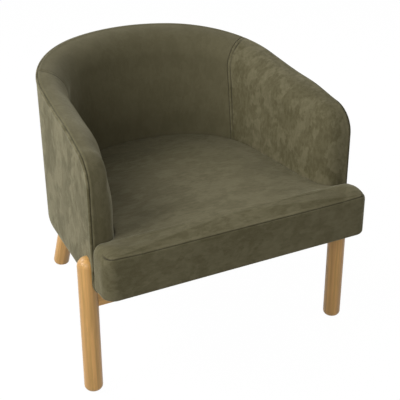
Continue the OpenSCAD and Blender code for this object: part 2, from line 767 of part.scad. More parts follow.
module glides() {
    color("dimgray")
        for (side = [-1, 1]) {
            glide(side * front_leg_x, front_leg_y);
            glide(side * (rear_foot_x + glide_h * tan(rear_splay) * cos(rear_axis_turn)),
                  rear_foot_y + glide_h * tan(rear_splay) * sin(rear_axis_turn));
        }
}

module front_cross_rail() {
    color(oak_colour) {
        difference() {
            translate([-front_leg_x, front_leg_y - cross_rail_t / 2, cross_rail_top - cross_rail_h])
                cube([2 * front_leg_x, cross_rail_t, cross_rail_h]);
            for (side = [-1, 1])
                translate([side * front_leg_x, front_leg_y, 0])
                    cylinder(r = leg_r + joint_gap, h = back_h);
        }
        cross_rail_tenon(0);
    }
}

// Bolts of one side: the front pair through the arm panel, the rear pair through the back rail
module both_sides() {
    children();
    mirror([1, 0, 0]) children();
}

module bolt(seat, reach) {
    translate([0, 0, -seat - washer_t - head_h])
        cylinder(d = head_d, h = head_h);
    translate([0, 0, -seat - washer_t])
        cylinder(d = bolt_d, h = seat + washer_t + reach - joint_gap);
}

module washer(seat) {
    difference() {
        translate([0, 0, -seat - washer_t])
            cylinder(d = washer_d, h = washer_t);
        translate([0, 0, -seat - washer_t - over])
            cylinder(d = bolt_d + 2 * joint_gap, h = washer_t + 2 * over);
    }
}

module thread_insert() {
    difference() {
        translate([0, 0, lap_gap + joint_gap])
            cylinder(d = insert_d - joint_gap, h = insert_h);
        cylinder(d = bolt_d + 2 * joint_gap, h = bolt_reach + over);
    }
}

module front_fixings() {
    front_bolt_axes()
        translate([0, 0, -front_leg_out])
            children();
}

module leg_bolts() {
    color(steel_colour)
        both_sides() {
            front_fixings() bolt(front_bolt_seat, bolt_reach);
            rear_bolt_axes() bolt(rear_bolt_seat, bolt_reach);
        }
}

module bolt_washers() {
    color(steel_colour)
        both_sides() {
            front_fixings() washer(front_bolt_seat);
            rear_bolt_axes() washer(rear_bolt_seat);
        }
}

module thread_inserts() {
    color("goldenrod")
        both_sides() {
            front_fixings() thread_insert();
            rear_bolt_axes() thread_insert();
        }
}

// Hole and recess for a leg bolt in the piece that it passes through
module bolt_hole(seat) {
    translate([0, 0, -seat - over * 10])
        cylinder(d = bolt_d + 4 * joint_gap, h = seat + over * 11);
    translate([0, 0, -seat - over * 10])
        cylinder(d = washer_d + 4 * joint_gap, h = over * 10);
}

// Arm panel: a thick plywood side with the arm's rounded front corner
module arm_panel() {
    inset = rim_frame_inset + rim_corner_r * (1 - cos(arm_corner_sweep / corner_steps / 2));
    front = along_side(arm_front_y) - inset - (frame_depth + arm_panel_t) * tan(side_flare);
    corner = rim_corner_r - inset;
    corner_h = arm_corner_h;
    slope = rim_angle(front_run);
    top_u = front - corner + corner * sin(slope);
    top_v = corner_h + corner * cos(slope);
    rear_v = top_v + tan(slope) * (top_u - side_rear(back_h));
    edge_r = lower_edge_r - frame_depth;
    difference() {
        intersection() {
            side_frame(frame_depth)
                linear_extrude(arm_panel_t)
                    union() {
                        polygon([[side_rear(0), 0], [front, 0],
                                 [front, corner_h], [front - corner, corner_h], [top_u, top_v],
                                 [side_rear(rear_v), top_v + tan(slope) * (top_u - side_rear(rear_v))]]);
                        translate([front - corner, corner_h])
                            circle(corner);
                    }
            side_frame(frame_depth)
                translate([-through / 2, 0, 0])
                    rotate([0, 90, 0])
                        linear_extrude(through)
                            union() {
                                translate([-edge_r, side_bottom_h])
                                    circle(edge_r, $fn = 4 * lower_edge_steps);
                                translate([-arm_panel_t, frame_bottom_h])
                                    square([arm_panel_t - edge_r, back_h]);
                                translate([-arm_panel_t, side_bottom_h])
                                    square([arm_panel_t, back_h]);
                            }
        }
        front_fixings() bolt_hole(front_bolt_seat);
    }
}
module arm_panel_right() { color(ply_colour) arm_panel(); }
module arm_panel_left() { color(ply_colour) mirror([1, 0, 0]) arm_panel(); }

// Curved seat rail with a batten under it that takes the cover's hem
batten_top = rail_foot_h + over;
module seat_back_rail() {
    color(ply_colour)
        difference() {
            union() {
                intersection() {
                    leaned_prism() back_band(rail_depth, rail_inner_depth);
                    slab(rail_foot_h, rail_top);
                }
                intersection() {
                    leaned_prism() back_band(lower_edge_r, lower_edge_r + hem_w, over);
                    slab(frame_bottom_h, batten_top);
                }
            }
            both_sides()
                rear_bolt_axes() bolt_hole(rear_bolt_seat);
        }
}

module top_rail() {
    color(ply_colour)
        difference() {
            intersection() {
                leaned_prism() back_band(rail_depth, rail_inner_depth);
                under_rim(rim_frame_inset + bend_gap);
            }
            under_rim(rim_frame_inset + top_rail_h);
        }
}

post_shares = [0.24, 0.78];
module back_post(run) {
    p = plan_at(run);
    leaned()
        translate([p[0], p[1], 0])
            rotate(run < 0 ? 180 - turn_at(run) : turn_at(run))
                translate([-rail_inner_depth, -post_w / 2, 0])
                    cube([back_rail_t - joint_gap * 10, post_w, back_h]);
}

module back_posts() {
    color(ply_colour)
        difference() {
            intersection() {
                for (share = post_shares, side = [-1, 1])
                    back_post(side * share * side_start_run);
                slab(rail_top, back_h);
                under_rim(rim_frame_inset + top_rail_h);
            }
            long_straps(soft_gap);
        }
}

module back_board() {
    color("peru")
        difference() {
            intersection() {
                leaned_prism() back_band(board_depth, board_inner_depth);
                slab(side_bottom_h, back_h);
                under_rim(rim_frame_inset);
            }
            both_sides()
                rear_bolt_axes() bolt_hole(rear_bolt_seat);
        }
}

webbing_shares = [0.18, 0.5, 0.82];
module back_webbing() {
    low = deck_h + strap_w / 2;
    high = back_h - tan(rim_slope) * shell_depth / 2 - top_rail_h;
    color("dimgray")
        for (share = webbing_shares)
            intersection() {
                leaned_prism() back_band(webbing_depth, webbing_depth + strap_t);
                slab(mix(low, high, share) - strap_w / 2, mix(low, high, share) + strap_w / 2);
            }
}

// Seat frame
front_pad_depth = frame_depth + front_padding_t;
front_rail_inset = front_pad_depth + soft_gap;
seat_rail_bottom = seat_underside_h + cover_t + soft_gap;
cross_rail_y = arm_front_y + strip_inset + soft_gap * 10;

// Plan of the seat's front part, inset from its cover
module seat_front_plan(inset) {
    front_r = max(seat_corner_r - inset, seam_gap);
    rear_r = max(seat_rear_r - inset, seam_gap);
    half = seat_half_w - inset;
    front = front_y + inset;
    rear = seat_rear_y - inset;
    translate([-half, front + front_r])
        square([2 * half, rear - front - front_r - rear_r]);
    translate([front_r - half, front])
        square([2 * (half - front_r), rear - front - rear_r]);
    translate([rear_r - half, rear - rear_r - over])
        square([2 * (half - rear_r), rear_r + over]);
    for (side = [-1, 1]) {
        translate([side * (half - front_r), front + front_r])
            circle(front_r, $fn = 12);
        translate([side * (half - rear_r), rear - rear_r])
            circle(rear_r, $fn = 12);
    }
}

module seat_front_rail() {
    color(ply_colour)
        translate([0, 0, seat_rail_bottom])
            linear_extrude(rail_top - seat_rail_bottom)
                intersection() {
                    seat_front_plan(front_rail_inset);
                    translate([-seat_half_w, front_y])
                        square([2 * seat_half_w, front_rail_inset + rail_t]);
                }
}

module seat_end_rails() {
    color(ply_colour)
        translate([0, 0, seat_rail_bottom])
            linear_extrude(rail_top - seat_rail_bottom)
                intersection() {
                    seat_front_plan(front_rail_inset);
                    for (side = [-1, 1])
                        translate([side * (seat_half_w - front_rail_inset - rail_t / 2) - rail_t / 2,
                                   front_y + front_rail_inset + rail_t])
                            square([rail_t, arm_setback]);
                }
}

bearer_shares = [-0.84, 0, 0.84];
module seat_bearers() {
    rail_y = front_y + front_rail_inset + rail_t;
    color(ply_colour)
        for (share = bearer_shares)
            translate([share * (half_w - wall_t) - rail_t / 2, rail_y, seat_rail_bottom])
                cube([rail_t, cross_rail_y - rail_y, rail_top - seat_rail_bottom]);
}

side_rail_depth = frame_depth + arm_panel_t;
module outside_of_side(depth) {
    side_frame(depth)
        translate([-through / 2, -through / 2, -through])
            cube([through, through, through]);
}

module seat_cross_rail() {
    color(ply_colour)
        difference() {
            translate([-half_w, cross_rail_y, frame_bottom_h])
                cube([2 * half_w, rail_t, rail_top - frame_bottom_h]);
            both_sides()
                outside_of_side(side_rail_depth + rail_t);
        }
}

module side_rail() {
    front = along_side(cross_rail_y) - side_rail_depth * tan(side_flare);
    side_frame(side_rail_depth)
        linear_extrude(rail_t)
            polygon([[side_rear(frame_bottom_h), frame_bottom_h], [front, frame_bottom_h],
                     [front, side_rail_top], [side_rear(side_rail_top), side_rail_top]]);
}
module seat_side_rail_right() { color(ply_colour) side_rail(); }
module seat_side_rail_left() { color(ply_colour) mirror([1, 0, 0]) side_rail(); }

block_leg = 2.2 * rail_t;
block_sweep = 14;
module front_corner_block() {
    x = side_origin[0] + (side_origin[1] - cross_rail_y - rail_t) * tan(side_flare)
        - (side_rail_depth + rail_t) / cos(side_flare);
    translate([0, 0, frame_bottom_h])
        linear_extrude(rail_top - frame_bottom_h)
            polygon([[x, cross_rail_y + rail_t], [x - block_leg, cross_rail_y + rail_t],
                     [x - block_leg * tan(side_flare), cross_rail_y + rail_t + block_leg]]);
}

module rear_corner_block() {
    intersection() {
        leaned_prism()
            intersection() {
                back_band(rail_inner_depth, side_rail_depth + rail_t);
                polygon([[corner_cx, corner_cy],
                         [corner_cx + 2 * corner_r * cos(side_flare - block_sweep),
                          corner_cy + 2 * corner_r * sin(side_flare - block_sweep)],
                         [corner_cx + 2 * corner_r * cos(side_flare + block_sweep),
                          corner_cy + 2 * corner_r * sin(side_flare + block_sweep)]]);
            }
        slab(batten_top, rail_top);
    }
}

module corner_blocks() {
    color(ply_colour)
        both_sides() {
            front_corner_block();
            rear_corner_block();
        }
}

// Webbing under the seat foam, with a gap round it for what is cut to clear it
module long_straps(gap) {
    span = 2 * (half_w - wall_t) - 2 * strap_w;
    front = front_y + front_rail_inset + rail_t / 3;
    for (i = [0 : long_strap_count - 1])
        translate([span * ((i + 0.5) / long_strap_count - 0.5) - strap_w / 2 - gap, front, long_strap_h - gap])
            cube([strap_w + 2 * gap, back_y - front, strap_t + 2 * gap]);
}

module seat_webbing_long() {
    color("dimgray")
        intersection() {
            long_straps(0);
            leaned_prism() plan_fill(rail_depth + back_rail_t / 2);
        }
}

module seat_webbing_cross() {
    rear = side_start_y - low_shift - strap_w;
    front = cross_rail_y + rail_t;
    color("dimgray")
        difference() {
            for (i = [0 : cross_strap_count - 1])
                translate([-half_w, mix(front, rear, i / (cross_strap_count - 1)), cross_strap_h])
                    cube([2 * half_w, strap_w, strap_t]);
            both_sides()
                outside_of_side(side_rail_depth + rail_t / 4);
        }
}

// Thin padding round the front and end rails
module seat_front_padding() {
    bottom = seat_underside_h + seat_lower_edge_r;
    open_half = seat_half_w - front_rail_inset - rail_t;
    color(foam_colour)
        translate([0, 0, bottom])
            linear_extrude(deck_h - soft_gap - bottom)
                difference() {
                    seat_front_plan(frame_depth);
                    seat_front_plan(front_pad_depth);
                    translate([-open_half, front_y + seat_corner_r])
                        square([2 * open_half, arm_setback]);
                }
}

module arm_foam_right() { color(foam_colour) arm_foam(); }
module arm_foam_left() { color(foam_colour) mirror([1, 0, 0]) arm_foam(); }
module inside_arm_cover_right() { color(fabric_colour) inside_arm_cover(); }
module inside_arm_cover_left() { color(fabric_colour) mirror([1, 0, 0]) inside_arm_cover(); }
module outside_arm_cover_right() {
    color(fabric_colour)
        difference() {
            outside_arm_cover();
            front_fixings() bolt_hole(front_bolt_seat);
        }
}
module outside_arm_cover_left() { mirror([1, 0, 0]) outside_arm_cover_right(); }

// Black cloth under the frame, one piece under the shell and one under the seat's front
module dust_cover() {
    color("black") {
        translate([0, -outer_shift(shell_underside_h), shell_underside_h - dust_cloth_t])
            linear_extrude(dust_cloth_t)
                intersection() {
                    plan_fill(lower_edge_r + hem_w / 3);
                    translate([-half_w, cross_rail_y + outer_shift(shell_underside_h)])
                        square([2 * half_w, shell_depth]);
                }
        translate([0, 0, seat_underside_h - dust_cloth_t])
            linear_extrude(dust_cloth_t)
                seat_front_plan(seat_lower_edge_r + hem_w / 3);
    }
}

front_leg_left();
front_leg_right();
rear_leg_left();
rear_leg_right();
glides();
front_cross_rail();
leg_bolts();
bolt_washers();
thread_inserts();
seat_front_rail();
seat_end_rails();
seat_bearers();
seat_cross_rail();
seat_side_rail_left();
seat_side_rail_right();
seat_back_rail();
corner_blocks();
arm_panel_left();
arm_panel_right();
top_rail();
back_posts();
back_board();
back_webbing();
seat_webbing_long();
seat_webbing_cross();
seat_foam();
seat_front_padding();
back_foam();
arm_foam_left();
arm_foam_right();
seat_cover();
inside_back_cover();
inside_arm_cover_left();
inside_arm_cover_right();
outside_back_cover();
outside_arm_cover_left();
outside_arm_cover_right();
dust_cover();
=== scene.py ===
import math
from collections import namedtuple

import bmesh
import bpy
import numpy as np
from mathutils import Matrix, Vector, kdtree


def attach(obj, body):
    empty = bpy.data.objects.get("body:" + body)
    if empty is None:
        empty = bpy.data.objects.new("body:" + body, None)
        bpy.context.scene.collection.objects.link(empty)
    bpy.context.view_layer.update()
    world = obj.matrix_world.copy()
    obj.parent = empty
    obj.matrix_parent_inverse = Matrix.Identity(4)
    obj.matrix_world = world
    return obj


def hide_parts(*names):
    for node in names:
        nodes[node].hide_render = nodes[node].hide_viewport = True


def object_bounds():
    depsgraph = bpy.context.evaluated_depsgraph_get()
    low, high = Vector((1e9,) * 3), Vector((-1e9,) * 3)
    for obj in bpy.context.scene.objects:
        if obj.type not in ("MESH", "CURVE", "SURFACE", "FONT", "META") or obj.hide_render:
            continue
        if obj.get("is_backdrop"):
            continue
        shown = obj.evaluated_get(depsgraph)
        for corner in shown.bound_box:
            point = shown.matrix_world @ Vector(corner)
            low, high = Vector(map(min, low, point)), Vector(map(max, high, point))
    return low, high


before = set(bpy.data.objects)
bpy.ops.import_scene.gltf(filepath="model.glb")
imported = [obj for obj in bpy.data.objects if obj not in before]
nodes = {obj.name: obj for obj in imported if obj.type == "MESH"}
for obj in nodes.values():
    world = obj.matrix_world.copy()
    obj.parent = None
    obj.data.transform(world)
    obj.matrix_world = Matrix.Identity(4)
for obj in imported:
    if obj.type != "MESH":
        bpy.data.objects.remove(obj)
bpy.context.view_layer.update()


# Legs and cross rail. Solid oak, the legs turned round, domed at the top and lapped onto the shell
# from outside, the rail tenoned between the front pair. The finish is a thin satin lacquer that
# leaves the straight grain and its fine pores open.
def put(tree, kind, inputs=(), **settings):
    made = tree.nodes.new(kind)
    for name, value in settings.items():
        setattr(made, name, value)
    for name, value in dict(inputs).items():
        if isinstance(value, bpy.types.NodeSocket):
            tree.links.new(value, made.inputs[name])
        else:
            made.inputs[name].default_value = value
    return made


def finish_of(name, **values):
    made = bpy.data.materials.new(name)
    made.use_nodes = True
    shader = made.node_tree.nodes["Principled BSDF"]
    for key, value in values.items():
        shader.inputs[key.replace("_", " ")].default_value = value
    return made, made.node_tree, shader


def mix_of(tree, share, first, second, mode="MIX"):
    made = tree.nodes.new("ShaderNodeMix")
    made.data_type = "RGBA"
    made.blend_type = mode
    for place, value in ((0, share), (6, first), (7, second)):
        if isinstance(value, bpy.types.NodeSocket):
            tree.links.new(value, made.inputs[place])
        else:
            made.inputs[place].default_value = value if place == 0 else (*value, 1)
    return made.outputs[2]


def speckle(tree, place, scale, detail=2.0, rough=0.5, twist=0.0):
    return put(tree, "ShaderNodeTexNoise", {"Vector": place, "Scale": scale, "Detail": detail,
                                            "Roughness": rough, "Distortion": twist}).outputs["Fac"]


def place_of(tree):
    return put(tree, "ShaderNodeTexCoord").outputs["Object"]


def turned_to(tree, place, **settings):
    return put(tree, "ShaderNodeMapping", {"Vector": place, **settings}).outputs[0]


def surfaced(tree, shader, colour, *reliefs):
    """Gives a finish its colour and its relief, each layer as (height, strength, depth), finest first."""
    tree.links.new(colour, shader.inputs["Base Color"])
    below = {}
    for height, strength, depth in reliefs:
        layer = put(tree, "ShaderNodeBump", {"Height": height, "Strength": strength, "Distance": depth,
                                             **below})
        below = {"Normal": layer.outputs[0]}
    tree.links.new(below["Normal"], shader.inputs["Normal"])


def range_of(tree, value, low, high, to_low=0.0, to_high=1.0):
    return put(tree, "ShaderNodeMapRange", {"Value": value, "From Min": low, "From Max": high,
                                            "To Min": to_low, "To Max": to_high}).outputs["Result"]


def oak(name, around=0.0, lean=0.0):
    """Oak whose grain follows a leg that leans, or a rail that lies, turned about the upright axis."""
    made, tree, shader = finish_of(name, Roughness=0.42, Coat_Weight=0.12, Coat_Roughness=0.3)
    place = turned_to(tree, place_of(tree), Rotation=(0, 0, around))
    place = turned_to(tree, place, Rotation=(0, lean, 0))
    along = turned_to(tree, place, Scale=(1, 1, 0.035))
    rings = speckle(tree, along, 150.0, 3.0, 0.55, 0.15)
    broad = speckle(tree, along, 55.0, 2.0, 0.5)
    pores = speckle(tree, turned_to(tree, place, Scale=(1, 1, 0.02)), 950.0, 2.0, 0.6)
    colour = mix_of(tree, range_of(tree, rings, 0.4, 0.62), (0.73, 0.405, 0.127), (0.55, 0.31, 0.09))
    colour = mix_of(tree, range_of(tree, broad, 0.42, 0.62, 0.0, 0.5), colour, (0.46, 0.24, 0.075))
    colour = mix_of(tree, range_of(tree, pores, 0.6, 0.74, 0.0, 0.45), colour, (0.27, 0.15, 0.06))
    surfaced(tree, shader, colour, (pores, 0.25, 0.0004))
    return made


rear_splay, rear_turn = math.radians(15), math.radians(115)
leg_oak = oak("oak_upright")
for leg in ("front_leg_left", "front_leg_right"):
    nodes[leg].data.materials[0] = leg_oak
nodes["rear_leg_right"].data.materials[0] = oak("oak_rear_right", rear_turn, -rear_splay)
nodes["rear_leg_left"].data.materials[0] = oak("oak_rear_left", math.pi - rear_turn, -rear_splay)
nodes["front_cross_rail"].data.materials[0] = oak("oak_rail", 0, math.pi / 2)


# Glides and leg fixings. Black moulded glides with a pin, pressed into each foot; zinc-plated bolts
# and washers inside the shell, and plain brass inserts set into the legs.
def worn_finish(name, colours, scale, metallic, rough):
    """A plain finish with faint marks of wear between two colours."""
    made, tree, shader = finish_of(name, Metallic=metallic)
    marks = speckle(tree, place_of(tree), scale, 4.0, 0.6)
    tree.links.new(range_of(tree, marks, 0.3, 0.7, rough - 0.08, rough + 0.1), shader.inputs["Roughness"])
    surfaced(tree, shader, mix_of(tree, range_of(tree, marks, 0.35, 0.7), *colours), (marks, 0.12, 0.0003))
    return made


black = worn_finish("black_plastic", ((0.012, 0.012, 0.012), (0.03, 0.03, 0.03)), 900, 0, 0.45)
zinc = worn_finish("zinc_plate", ((0.55, 0.56, 0.57), (0.68, 0.68, 0.66)), 500, 1, 0.34)
brass = worn_finish("brass", ((0.66, 0.48, 0.2), (0.76, 0.6, 0.3)), 420, 1, 0.32)
for piece, finish in (("glides", black), ("leg_bolts", zinc), ("bolt_washers", zinc),
                      ("thread_inserts", brass)):
    nodes[piece].data.materials[0] = finish


# Shell and seat frame. Rails, panels, posts and blocks sawn from birch plywood, glued and screwed,
# with a thin bent fibreboard round the back. All of it is raw and closed in by the covers.
def plywood(name):
    """Raw plywood with its layers and its fibre."""
    made, tree, shader = finish_of(name, Roughness=0.75)
    place = place_of(tree)
    layers = put(tree, "ShaderNodeTexWave", {"Vector": place, "Scale": 52.0, "Distortion": 0.6,
                                             "Detail": 1.0}, bands_direction="Z").outputs["Fac"]
    fibre = speckle(tree, turned_to(tree, place, Scale=(1, 0.06, 1)), 420.0, 3.0)
    colour = mix_of(tree, range_of(tree, layers, 0.2, 0.8), (0.63, 0.48, 0.3), (0.5, 0.36, 0.21))
    colour = mix_of(tree, range_of(tree, fibre, 0.4, 0.7, 0.0, 0.35), colour, (0.42, 0.29, 0.16))
    surfaced(tree, shader, colour, (fibre, 0.2, 0.0004))
    return made


birch = plywood("birch_plywood")
for piece in ("seat_front_rail", "seat_end_rails", "seat_bearers", "seat_cross_rail", "seat_side_rail_left",
              "seat_side_rail_right", "seat_back_rail", "corner_blocks", "arm_panel_left",
              "arm_panel_right", "top_rail", "back_posts"):
    nodes[piece].data.materials[0] = birch
fibreboard = worn_finish("fibreboard", ((0.36, 0.25, 0.15), (0.25, 0.16, 0.09)), 650, 0, 0.85)
nodes["back_board"].data.materials[0] = fibreboard


# Webbing. Woven elastic straps, stretched over the seat frame both ways and stapled at their ends,
# and three more across the back behind its foam. Their selvedges are a little thicker than the weave.
def webbing_weave():
    """The ribs of a coarse plain weave, whose threads run both ways."""
    made, tree, shader = finish_of("elastic_webbing", Roughness=0.9)
    place = place_of(tree)
    warp, weft = (put(tree, "ShaderNodeTexWave", {"Vector": place, "Scale": 160.0},
                      bands_direction=way).outputs["Fac"] for way in "XY")
    ribs = put(tree, "ShaderNodeMath", {0: warp, 1: weft}, operation="MULTIPLY").outputs[0]
    surfaced(tree, shader, mix_of(tree, ribs, (0.03, 0.03, 0.03), (0.11, 0.105, 0.1)), (ribs, 0.4, 0.0005))
    return made


def in_scene(name, data):
    made = bpy.data.objects.new(name, data)
    bpy.context.scene.collection.objects.link(made)
    return made


def edit_of(mesh):
    """An edit mesh whose solids have their points in common."""
    work = bmesh.new()
    work.from_mesh(mesh)
    bmesh.ops.remove_doubles(work, verts=work.verts, dist=1e-5)
    return work


def solids_of(mesh):
    """The points of each separate solid in an edit mesh."""
    left, found = dict.fromkeys(mesh.verts), []
    while left:
        group, edge = [], [left.popitem()[0]]
        while edge:
            point = edge.pop()
            group.append(point)
            for line in point.link_edges:
                other = line.other_vert(point)
                if other in left:
                    del left[other]
                    edge.append(other)
        found.append(group)
    return found


strap_half_w, selvedge_share, weave_dip = 0.025, 0.85, 0.0002


def straps_of(name, node, across, material):
    """Dresses a node's straps: cut lengthwise at the selvedges, and thinner between them."""
    work = edit_of(nodes[node].data)
    middles = sorted({round(sum(p.co[across] for p in g) / len(g), 3) for g in solids_of(work)})
    along = [float(axis == across) for axis in range(3)]
    for middle in middles:
        for share in (-0.9, -0.8, 0, 0.8, 0.9):
            at = [(middle + share * strap_half_w) * part for part in along]
            whole = list(work.verts) + list(work.edges) + list(work.faces)
            bmesh.ops.bisect_plane(work, geom=whole, plane_co=at, plane_no=along)
    work.normal_update()
    for point in work.verts:
        if min(abs(point.co[across] - middle) for middle in middles) / strap_half_w < selvedge_share:
            point.co -= point.normal * weave_dip
    mesh = bpy.data.meshes.new(name)
    flat_area = sum(face.calc_area() for face in work.faces) / 2
    work.to_mesh(mesh)
    work.free()
    strap = placed(name, mesh, material, False)
    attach(strap, "root")
    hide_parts(node)


def placed(name, mesh, material, smooth=True):
    """Turns the mesh's faces outwards and puts it in the scene."""
    work = bmesh.new()
    work.from_mesh(mesh)
    bmesh.ops.recalc_face_normals(work, faces=work.faces)
    if work.calc_volume(signed=True) < 0:
        bmesh.ops.reverse_faces(work, faces=work.faces)
    work.to_mesh(mesh)
    work.free()
    for face in mesh.polygons:
        face.use_smooth = smooth
    mesh.materials.append(material)
    return in_scene(name, mesh)


weave = webbing_weave()
straps_of("webbing_front_to_back", "seat_webbing_long", 0, weave)
straps_of("webbing_side_to_side", "seat_webbing_cross", 1,
          weave)
straps_of("webbing_in_back", "back_webbing", 2, weave)


# Inside back. Moulded foam on the curved frame under one piece of suede-like velvet, sewn to the
# arms at two upright seams and to the outside back along the rim. The foam rolls over the rim and
# leans back to the seat, and the pile catches the light in soft brushed patches.
def suede(name, streak=(1, 1, 1), seed=0.0, sheen_contrast=1.0, light=1.0):
    """Brushed pile: the seed moves its patches, the streak draws them out, the sheen contrast sets how strong
    they are. Their light and dark are the pile's own patches painted as the sheen they catch, stronger on the
    better-lit pieces; light scales the whole colour, and below 1 it is painted shade.
    """
    made, tree, shader = finish_of(name, Roughness=0.8, Sheen_Weight=0.32, Sheen_Roughness=0.36,
                                   Specular_IOR_Level=0.2)
    shader.inputs["Sheen Tint"].default_value = (0.9, 0.86, 0.64, 1)
    place = place_of(tree)
    brushed = turned_to(tree, place, Location=(seed, seed * 0.7, seed * 1.3), Scale=streak)
    patches = range_of(tree, speckle(tree, brushed, 25.0, 7.0, 0.62, 0.35), 0.475, 0.548)
    hairs = speckle(tree, turned_to(tree, brushed, Scale=streak), 110.0, 5.0, 0.62, 0.1)
    hairs = range_of(tree, hairs, 0.42, 0.58)
    clouds = range_of(tree, speckle(tree, place, 6.0, 3.0, 0.5), 0.40, 0.62)
    pile = speckle(tree, place, 1100.0, 2.0, 0.6)
    # Painted sheen: the patches lighten and darken the colour itself, more on pieces that are better lit.
    nap_and_sheen = mix_of(tree, 0.34, mix_of(tree, 0.3, patches, clouds), hairs)
    nap_and_sheen = range_of(tree, nap_and_sheen, 0.0, 1.0, 0.5 - sheen_contrast / 2, 0.5 + sheen_contrast / 2)
    dark, bright = (tuple(light * part for part in tone)
                    for tone in ((0.070, 0.060, 0.025), (0.176, 0.157, 0.090)))
    colour = mix_of(tree, range_of(tree, pile, 0.35, 0.7, 0.0, 0.22), mix_of(tree, nap_and_sheen, dark, bright), bright)
    # Painted shade: in the grooves of the seams and along the seat's creases the colour is darkened towards
    # near black, by the attribute each piece carries.
    shade_share = put(tree, "ShaderNodeAttribute", attribute_name="seam").outputs["Fac"]
    colour = mix_of(tree, shade_share, colour, (0.02, 0.017, 0.009))
    surfaced(tree, shader, colour, (pile, 0.22, 0.0005), (hairs, 0.22, 0.0009))
    return made


# The shell's plan is a back arc, two corner arcs and two flared sides. Places on the wall are given by
# the run along its outer side from the back's middle, the height, and the depth inwards.
deg = math.pi / 180
back_h, under_h, deck_h, seat_edge_h = 0.709, 0.277, 0.355, 0.413
back_y, arm_front_y, front_y = 0.312, -0.289, -0.377
half_w, flare, corner_r, back_r = 0.3225, 4.2 * deg, 0.270, 0.437
outer_lean, inner_lean, rim_fall = math.tan(2.2 * deg), math.tan(5 * deg), math.tan(10.2 * deg)
wall_t, outer_r, inner_r, nose_r, rim_corner_r, lower_r = 0.073, 0.007, 0.058, 0.046, 0.073, 0.032
play, cloth_t = 0.0003, 0.002
foam_inset, foam_depth, board_depth, panel_depth = 0.0074, 0.0046, 0.0179, 0.0358
side_low = under_h + lower_r
corner_x = half_w - corner_r * math.cos(flare)
join_turn = math.acos(corner_x / (back_r - corner_r))
back_cy = back_y - back_r
corner_y = back_cy + (back_r - corner_r) * math.sin(join_turn)
side_y = corner_y + corner_r * math.sin(flare)
back_run = back_r * (math.pi / 2 - join_turn)
side_run = back_run + corner_r * (join_turn - flare)
front_run = side_run + (side_y - arm_front_y) / math.cos(flare)
seam_run = back_run + corner_r * (join_turn - 27 * deg)
sewn_run = seam_run + 0.006


def length_of(vectors, **kept):
    return np.linalg.norm(vectors, axis=-1, **kept)


def ease(x):
    """A smooth step from 0 to 1."""
    x = np.clip(x, 0, 1)
    return x * x * (3 - 2 * x)


def plan_of(run):
    """Place in plan, and the outward direction, at a distance along the wall from the back's middle."""
    far = np.abs(run)
    part = [far < back_run, far < side_run]
    turn = np.select(part, [math.pi / 2 - far / back_r, join_turn - (far - back_run) / corner_r], flare)
    x = np.select(part, [back_r * np.cos(turn), corner_x + corner_r * np.cos(turn)],
                  half_w + (far - side_run) * math.sin(flare))
    y = np.select(part, [back_cy + back_r * np.sin(turn), corner_y + corner_r * np.sin(turn)],
                  side_y - (far - side_run) * math.cos(flare))
    side = np.where(run < 0, -1.0, 1.0)
    return side * x, y, side * np.cos(turn), np.sin(turn)


def wall(run, z, depth, inner, tilt):
    """A point of the leaning wall. Depth is inwards from its outer side, inner is 0 for the outer lean
    and 1 for the inner one, and tilt is how far the point follows the slope of the rim."""
    run, z, depth, inner, tilt = np.broadcast_arrays(run, z, depth, inner, tilt)
    shift = (back_h - z) * (outer_lean * (1 - inner) + inner_lean * inner)
    kept = np.clip((np.abs(run) - seam_run) / (side_run - seam_run), 0, 1)
    true = run - np.where(run < 0, -1.0, 1.0) * kept * (shift + depth * math.sin(flare)) / math.cos(flare)
    x, y, nx, ny = plan_of(true)
    return np.stack([x - depth * nx, y - depth * ny - shift,
                     z - tilt * (1 - kept) * rim_fall * ny * depth], -1)


def rim_h(run):
    """Height of the rim, which falls to the front and is a little fuller behind the arm's corner."""
    fuller = 0.005 * np.exp(-((front_run - np.abs(run) - 0.145) / 0.06) ** 2)
    return back_h - rim_fall * (back_y - plan_of(np.abs(run))[1]) + fuller


def rim_angle(run):
    return np.arctan(rim_fall * plan_of(np.abs(run))[2])


def rim_stations(run):
    """Run, height, direction inwards along the run and the height, inner radius and sewn share."""
    run = np.asarray(run, float)
    side = np.where(run < 0, -1.0, 1.0)
    return np.stack([run, rim_h(run), -side * np.sin(rim_angle(run)), -np.cos(rim_angle(run)),
                     np.full_like(run, inner_r), np.ones_like(run)], -1)


def section(t, r, start):
    """Depth and inset along the rim's section, t from the sewn edge to the foot of the inner curve."""
    first = outer_r * (math.pi / 2 - start)
    flat = wall_t - r - outer_r
    total = first + flat + r * math.pi / 2
    s = t * total
    a = start + s / outer_r
    b = (s - first - flat) / r
    depth = np.where(s < first, outer_r * (1 - np.cos(a)),
                     np.where(s < first + flat, outer_r + s - first, wall_t - r + r * np.sin(b)))
    inset = np.where(s < first, outer_r * (1 - np.sin(a)),
                     np.where(s < first + flat, 0.0, r * (1 - np.cos(b))))
    return depth, inset, total, np.clip((first + flat) / total, 0, 1)


def drawn_in(depth, z):
    """Depth where the wall's lower edge is rounded."""
    low = np.clip(side_low - z, 0, lower_r)
    return depth + (lower_r - np.sqrt(lower_r ** 2 - low ** 2)) * (1 - np.clip(depth / wall_t, 0, 1))


def rounded_off(run, z):
    """How much lower the foam lies on the arm's nose, and most where its front and its rim meet."""
    far, low = front_run - np.abs(run), rim_h(run) - z
    near = np.hypot(np.maximum(rim_corner_r - far, 0), np.maximum(rim_corner_r - low, 0))
    kept = ease(np.minimum(np.minimum(far, low), rim_corner_r - near) / 0.028)
    nose = 0.006 * np.exp(-(np.maximum(far - 0.03, 0) / 0.05) ** 2)
    corner = 0.010 * np.exp(-((far - 0.06) ** 2 / 0.0035 + (low - 0.045) ** 2 / 0.0028))
    return kept * (nose + corner)


